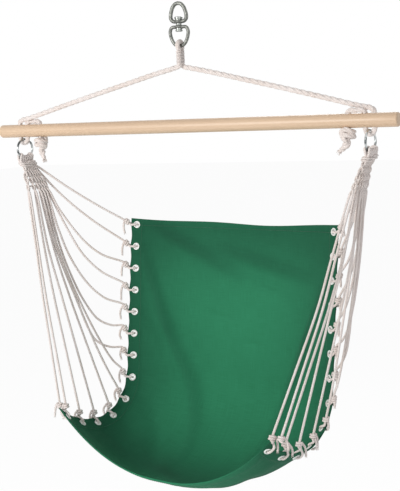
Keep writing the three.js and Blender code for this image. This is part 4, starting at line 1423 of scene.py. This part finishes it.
def cloth_sheet():
    """The cloth as one layer of points, each with its painted light and shade and its thickness, and a map of
    its threads.
    """
    rows = hem_rows()
    columns = hem_columns()
    bm = bmesh.new()
    bmesh.ops.create_grid(bm, x_segments=len(columns) - 1, y_segments=len(rows) - 1, size=1)
    map_layer = bm.loops.layers.uv.new("cloth_map")
    painted_shading_layer = bm.verts.layers.float.new("tone")
    thickness = bm.verts.layers.deform.verify()
    folds = MAIN_FOLDS + FINE_FOLDS
    places = {}
    for v in bm.verts:
        column = round((v.co.x + 1) / 2 * (len(columns) - 1))
        row = round((1 - v.co.y) / 2 * (len(rows) - 1))
        distance, share = rows[row], columns[column]
        places[v.index] = (distance, share)
        v.co = sewn_place(distance, share, folds)
        hem = abs(share) >= STRIP_SHARE or distance <= HEM_WIDTH or distance >= SEAT_LENGTH - HEM_WIDTH
        v[thickness][0] = 1 if hem else CLOTH_THICKNESS / HEM_THICKNESS
        # Painted light and shade, kept in the tone attribute
        v[painted_shading_layer] = painted_cloth_shading(distance / SEAT_LENGTH, share)
    for face in bm.faces:
        for loop in face.loops:
            distance, share = places[loop.vert.index]
            loop[map_layer].uv = (share * SEAT_WIDTH / 2 * METRES, distance * METRES)
    mesh = bpy.data.meshes.new("cloth")
    bm.to_mesh(mesh)
    bm.free()
    return mesh


def seat_cloth():
    """The sheet given its thickness, double at the hems, and punched for the eyelets."""
    blank = link("cloth_blank", cloth_sheet())
    blank.vertex_groups.new(name="thickness")
    body = blank.modifiers.new("body", "SOLIDIFY")
    body.thickness = HEM_THICKNESS
    body.offset = 0
    body.vertex_group = "thickness"
    body.thickness_vertex_group = 0
    punches = bmesh.new()
    radius = EYELET_BARREL + FIT
    for _, side in SIDES:
        for i in range(EYELETS_PER_SIDE):
            centre, _, normal, _ = eyelet_frame(side, i)
            made = bmesh.ops.create_cone(
                punches, cap_ends=True, segments=24, radius1=radius, radius2=radius, depth=PUNCH_LENGTH,
            )
            turn = normal.to_track_quat("Z", "Y").to_matrix()
            bmesh.ops.rotate(punches, verts=made["verts"], cent=(0, 0, 0), matrix=turn)
            bmesh.ops.translate(punches, verts=made["verts"], vec=centre)
    mesh = drilled(blank, link("cloth_punches", mesh_of(punches)))
    return finish_piece("canvas_seat", mesh, green_canvas, "seat", ["seat_cloth"], sharp=60)


def stitch_lines():
    """The ends of each hem's stitches, by distance down and share of half the width."""
    ends = range(STITCHES_ACROSS + 1)
    lines = []
    for distance in (STITCH_FROM_EDGE, SEAT_LENGTH - STITCH_FROM_EDGE):
        lines.append([(distance, -0.985 + 1.97 * i / STITCHES_ACROSS) for i in ends])
    ends = range(STITCHES_DOWN + 1)
    for _, side in SIDES:
        share = side * (STRIP_SHARE + STRIP_STEP)
        lines.append([(4 + (SEAT_LENGTH - 8) * i / STITCHES_DOWN, share) for i in ends])
    return lines


def hem_stitching():
    """Sewn lines along the four hems, on both faces of the cloth."""
    folds = MAIN_FOLDS + FINE_FOLDS
    data = new_curve("stitches", STITCH_RADIUS, 1)
    data.use_fill_caps = True
    for places in stitch_lines():
        for (d1, s1), (d2, s2) in zip(places, places[1:]):
            a = cloth_surface(d1, s1, folds)
            b = cloth_surface(d2, s2, folds)
            normal = cloth_normal((d1 + d2) / 2, (s1 + s2) / 2, folds)
            for face in (1, -1):
                spline = data.splines.new("POLY")
                spline.points.add(len(STITCH_SHARES) - 1)
                for point, (share, rise, thick) in zip(spline.points, STITCH_SHARES):
                    lift = face * (HEM_THICKNESS / 2 + STITCH_RADIUS * rise)
                    point.co = (*(a.lerp(b, share) + normal * lift), 1)
                    point.radius = thick
    mesh = curve_mesh("stitches", data)
    return finish_piece("hem_stitching", mesh, sewing_thread, "seat", [])


def eyelet(word, side, index):
    """A set eyelet: a rolled flange on each face of the hem and a barrel through it."""
    face = HEM_THICKNESS / 2 + 0.1
    middle = (EYELET_BORE + EYELET_FLANGE) / 2
    half = (EYELET_FLANGE - EYELET_BORE) / 2
    barrel = EYELET_BARREL + 0.2
    rolled = []
    for i in range(9):
        angle = math.pi * i / 8
        rolled.append((middle - half * math.cos(angle), face + EYELET_RISE * math.sin(angle) ** 0.8))
    bottom = [(r, -z) for r, z in reversed(rolled)]
    bm = spun([*rolled, (barrel, face), (barrel, -face), *bottom, rolled[0]], 36)
    centre, _, normal, _ = eyelet_frame(side, index)
    turn = normal.to_track_quat("Z", "Y").to_matrix()
    bmesh.ops.rotate(bm, verts=bm.verts, cent=(0, 0, 0), matrix=turn)
    bmesh.ops.translate(bm, verts=bm.verts, vec=centre)
    name = f"{word}_eyelet_ring_{index + 1}"
    node = f"{word}_eyelet_{index + 1}"
    return finish_piece(name, mesh_of(bm), white_enamel, "seat", [node], sharp=50)


# Floor, background and light

def pale_floor():
    bm = bmesh.new()
    bmesh.ops.create_grid(bm, x_segments=1, y_segments=1, size=14)
    bmesh.ops.translate(bm, verts=bm.verts, vec=(0, 4, FLOOR_Z))
    mesh = bpy.data.meshes.new("pale_floor")
    bm.to_mesh(mesh)
    bm.free()
    f = Finish("pale_floor", 0.9)
    f.shader.inputs["Base Color"].default_value = (0.96, 0.96, 0.96, 1)
    path = f.node("LightPath")
    seen = f.math("MAXIMUM", path.outputs["Is Camera Ray"], path.outputs["Is Glossy Ray"])
    seen = f.math("MAXIMUM", seen, path.outputs["Is Transmission Ray"])
    glow = f.node("Emission")
    glow.inputs["Strength"].default_value = 1.0
    blend = f.node("MixShader")
    f.join(f.math("MULTIPLY", seen, FLOOR_GLOW), blend.inputs[0])
    f.join(f.shader.outputs[0], blend.inputs[1])
    f.join(glow.outputs[0], blend.inputs[2])
    f.join(blend.outputs[0], f.tree.nodes["Material Output"].inputs["Surface"])
    mesh.materials.append(f.material)
    link("pale_floor", mesh)


def soft_sky():
    """A weak sky that lights the chair, and plain white wherever it's seen."""
    world = bpy.data.worlds.new("soft_studio")
    bpy.context.scene.world = world
    world.use_nodes = True
    nodes = world.node_tree.nodes
    links = world.node_tree.links
    sky = nodes["Background"]
    sky.inputs["Color"].default_value = (0.97, 0.985, 1, 1)
    sky.inputs["Strength"].default_value = 0.46
    white = nodes.new("ShaderNodeBackground")
    white.inputs["Color"].default_value = WHITE
    ways = nodes.new("ShaderNodeLightPath")
    seen = ways.outputs["Is Camera Ray"]
    for way in ("Is Transmission Ray", "Is Glossy Ray"):
        either = nodes.new("ShaderNodeMath")
        either.operation = "MAXIMUM"
        links.new(seen, either.inputs[0])
        links.new(ways.outputs[way], either.inputs[1])
        seen = either.outputs[0]
    choose = nodes.new("ShaderNodeMixShader")
    links.new(seen, choose.inputs[0])
    links.new(sky.outputs[0], choose.inputs[1])
    links.new(white.outputs[0], choose.inputs[2])
    links.new(choose.outputs[0], nodes["World Output"].inputs["Surface"])


def softbox(name, place, target, size, power, colour):
    data = bpy.data.lights.new(name, "AREA")
    data.shape = "RECTANGLE"
    data.size, data.size_y = size
    data.energy = power
    data.color = colour
    light = link(name, data)
    light.location = place
    light.rotation_euler = (Vector(target) - Vector(place)).to_track_quat("-Z", "Y").to_euler()
    light.visible_camera = False


swivel_loop()
for word, side in SIDES:
    rope_leg(word, side)
for word, side in SIDES:
    for number in range(2 * CORDS_PER_SIDE):
        strand(word, side, number)
for word, side in SIDES:
    rope_lacing(word, side)
    ring(word, side)
    ring_folds(word, side)
    neck_binding(word, side)
    header_weave(word, side)
rope_whipping()
upper_eye()
lower_eye()
swivel_pin()
spreader_bar()
canvas = seat_cloth()
stitching = hem_stitching()
eyelets = [eyelet(word, side, i) for word, side in SIDES for i in range(EYELETS_PER_SIDE)]
discard(*OUTLINES.values())

bpy.context.scene.view_settings.view_transform = "Standard"
pale_floor()
soft_sky()
softbox("key_softbox", (-1.1, -2.9, 0.3), (0, 0, -0.6), (1.0, 1.0), 60, (1, 0.99, 0.97))
softbox("fill_softbox", (2.2, -2.0, -0.2), (0, 0, -0.6), (1.4, 1.4), 14, (0.97, 0.985, 1))
softbox("back_softbox", (-0.4, 2.4, 1.0), (0, 0, -0.4), (1.8, 1.2), 26, (1, 1, 1))
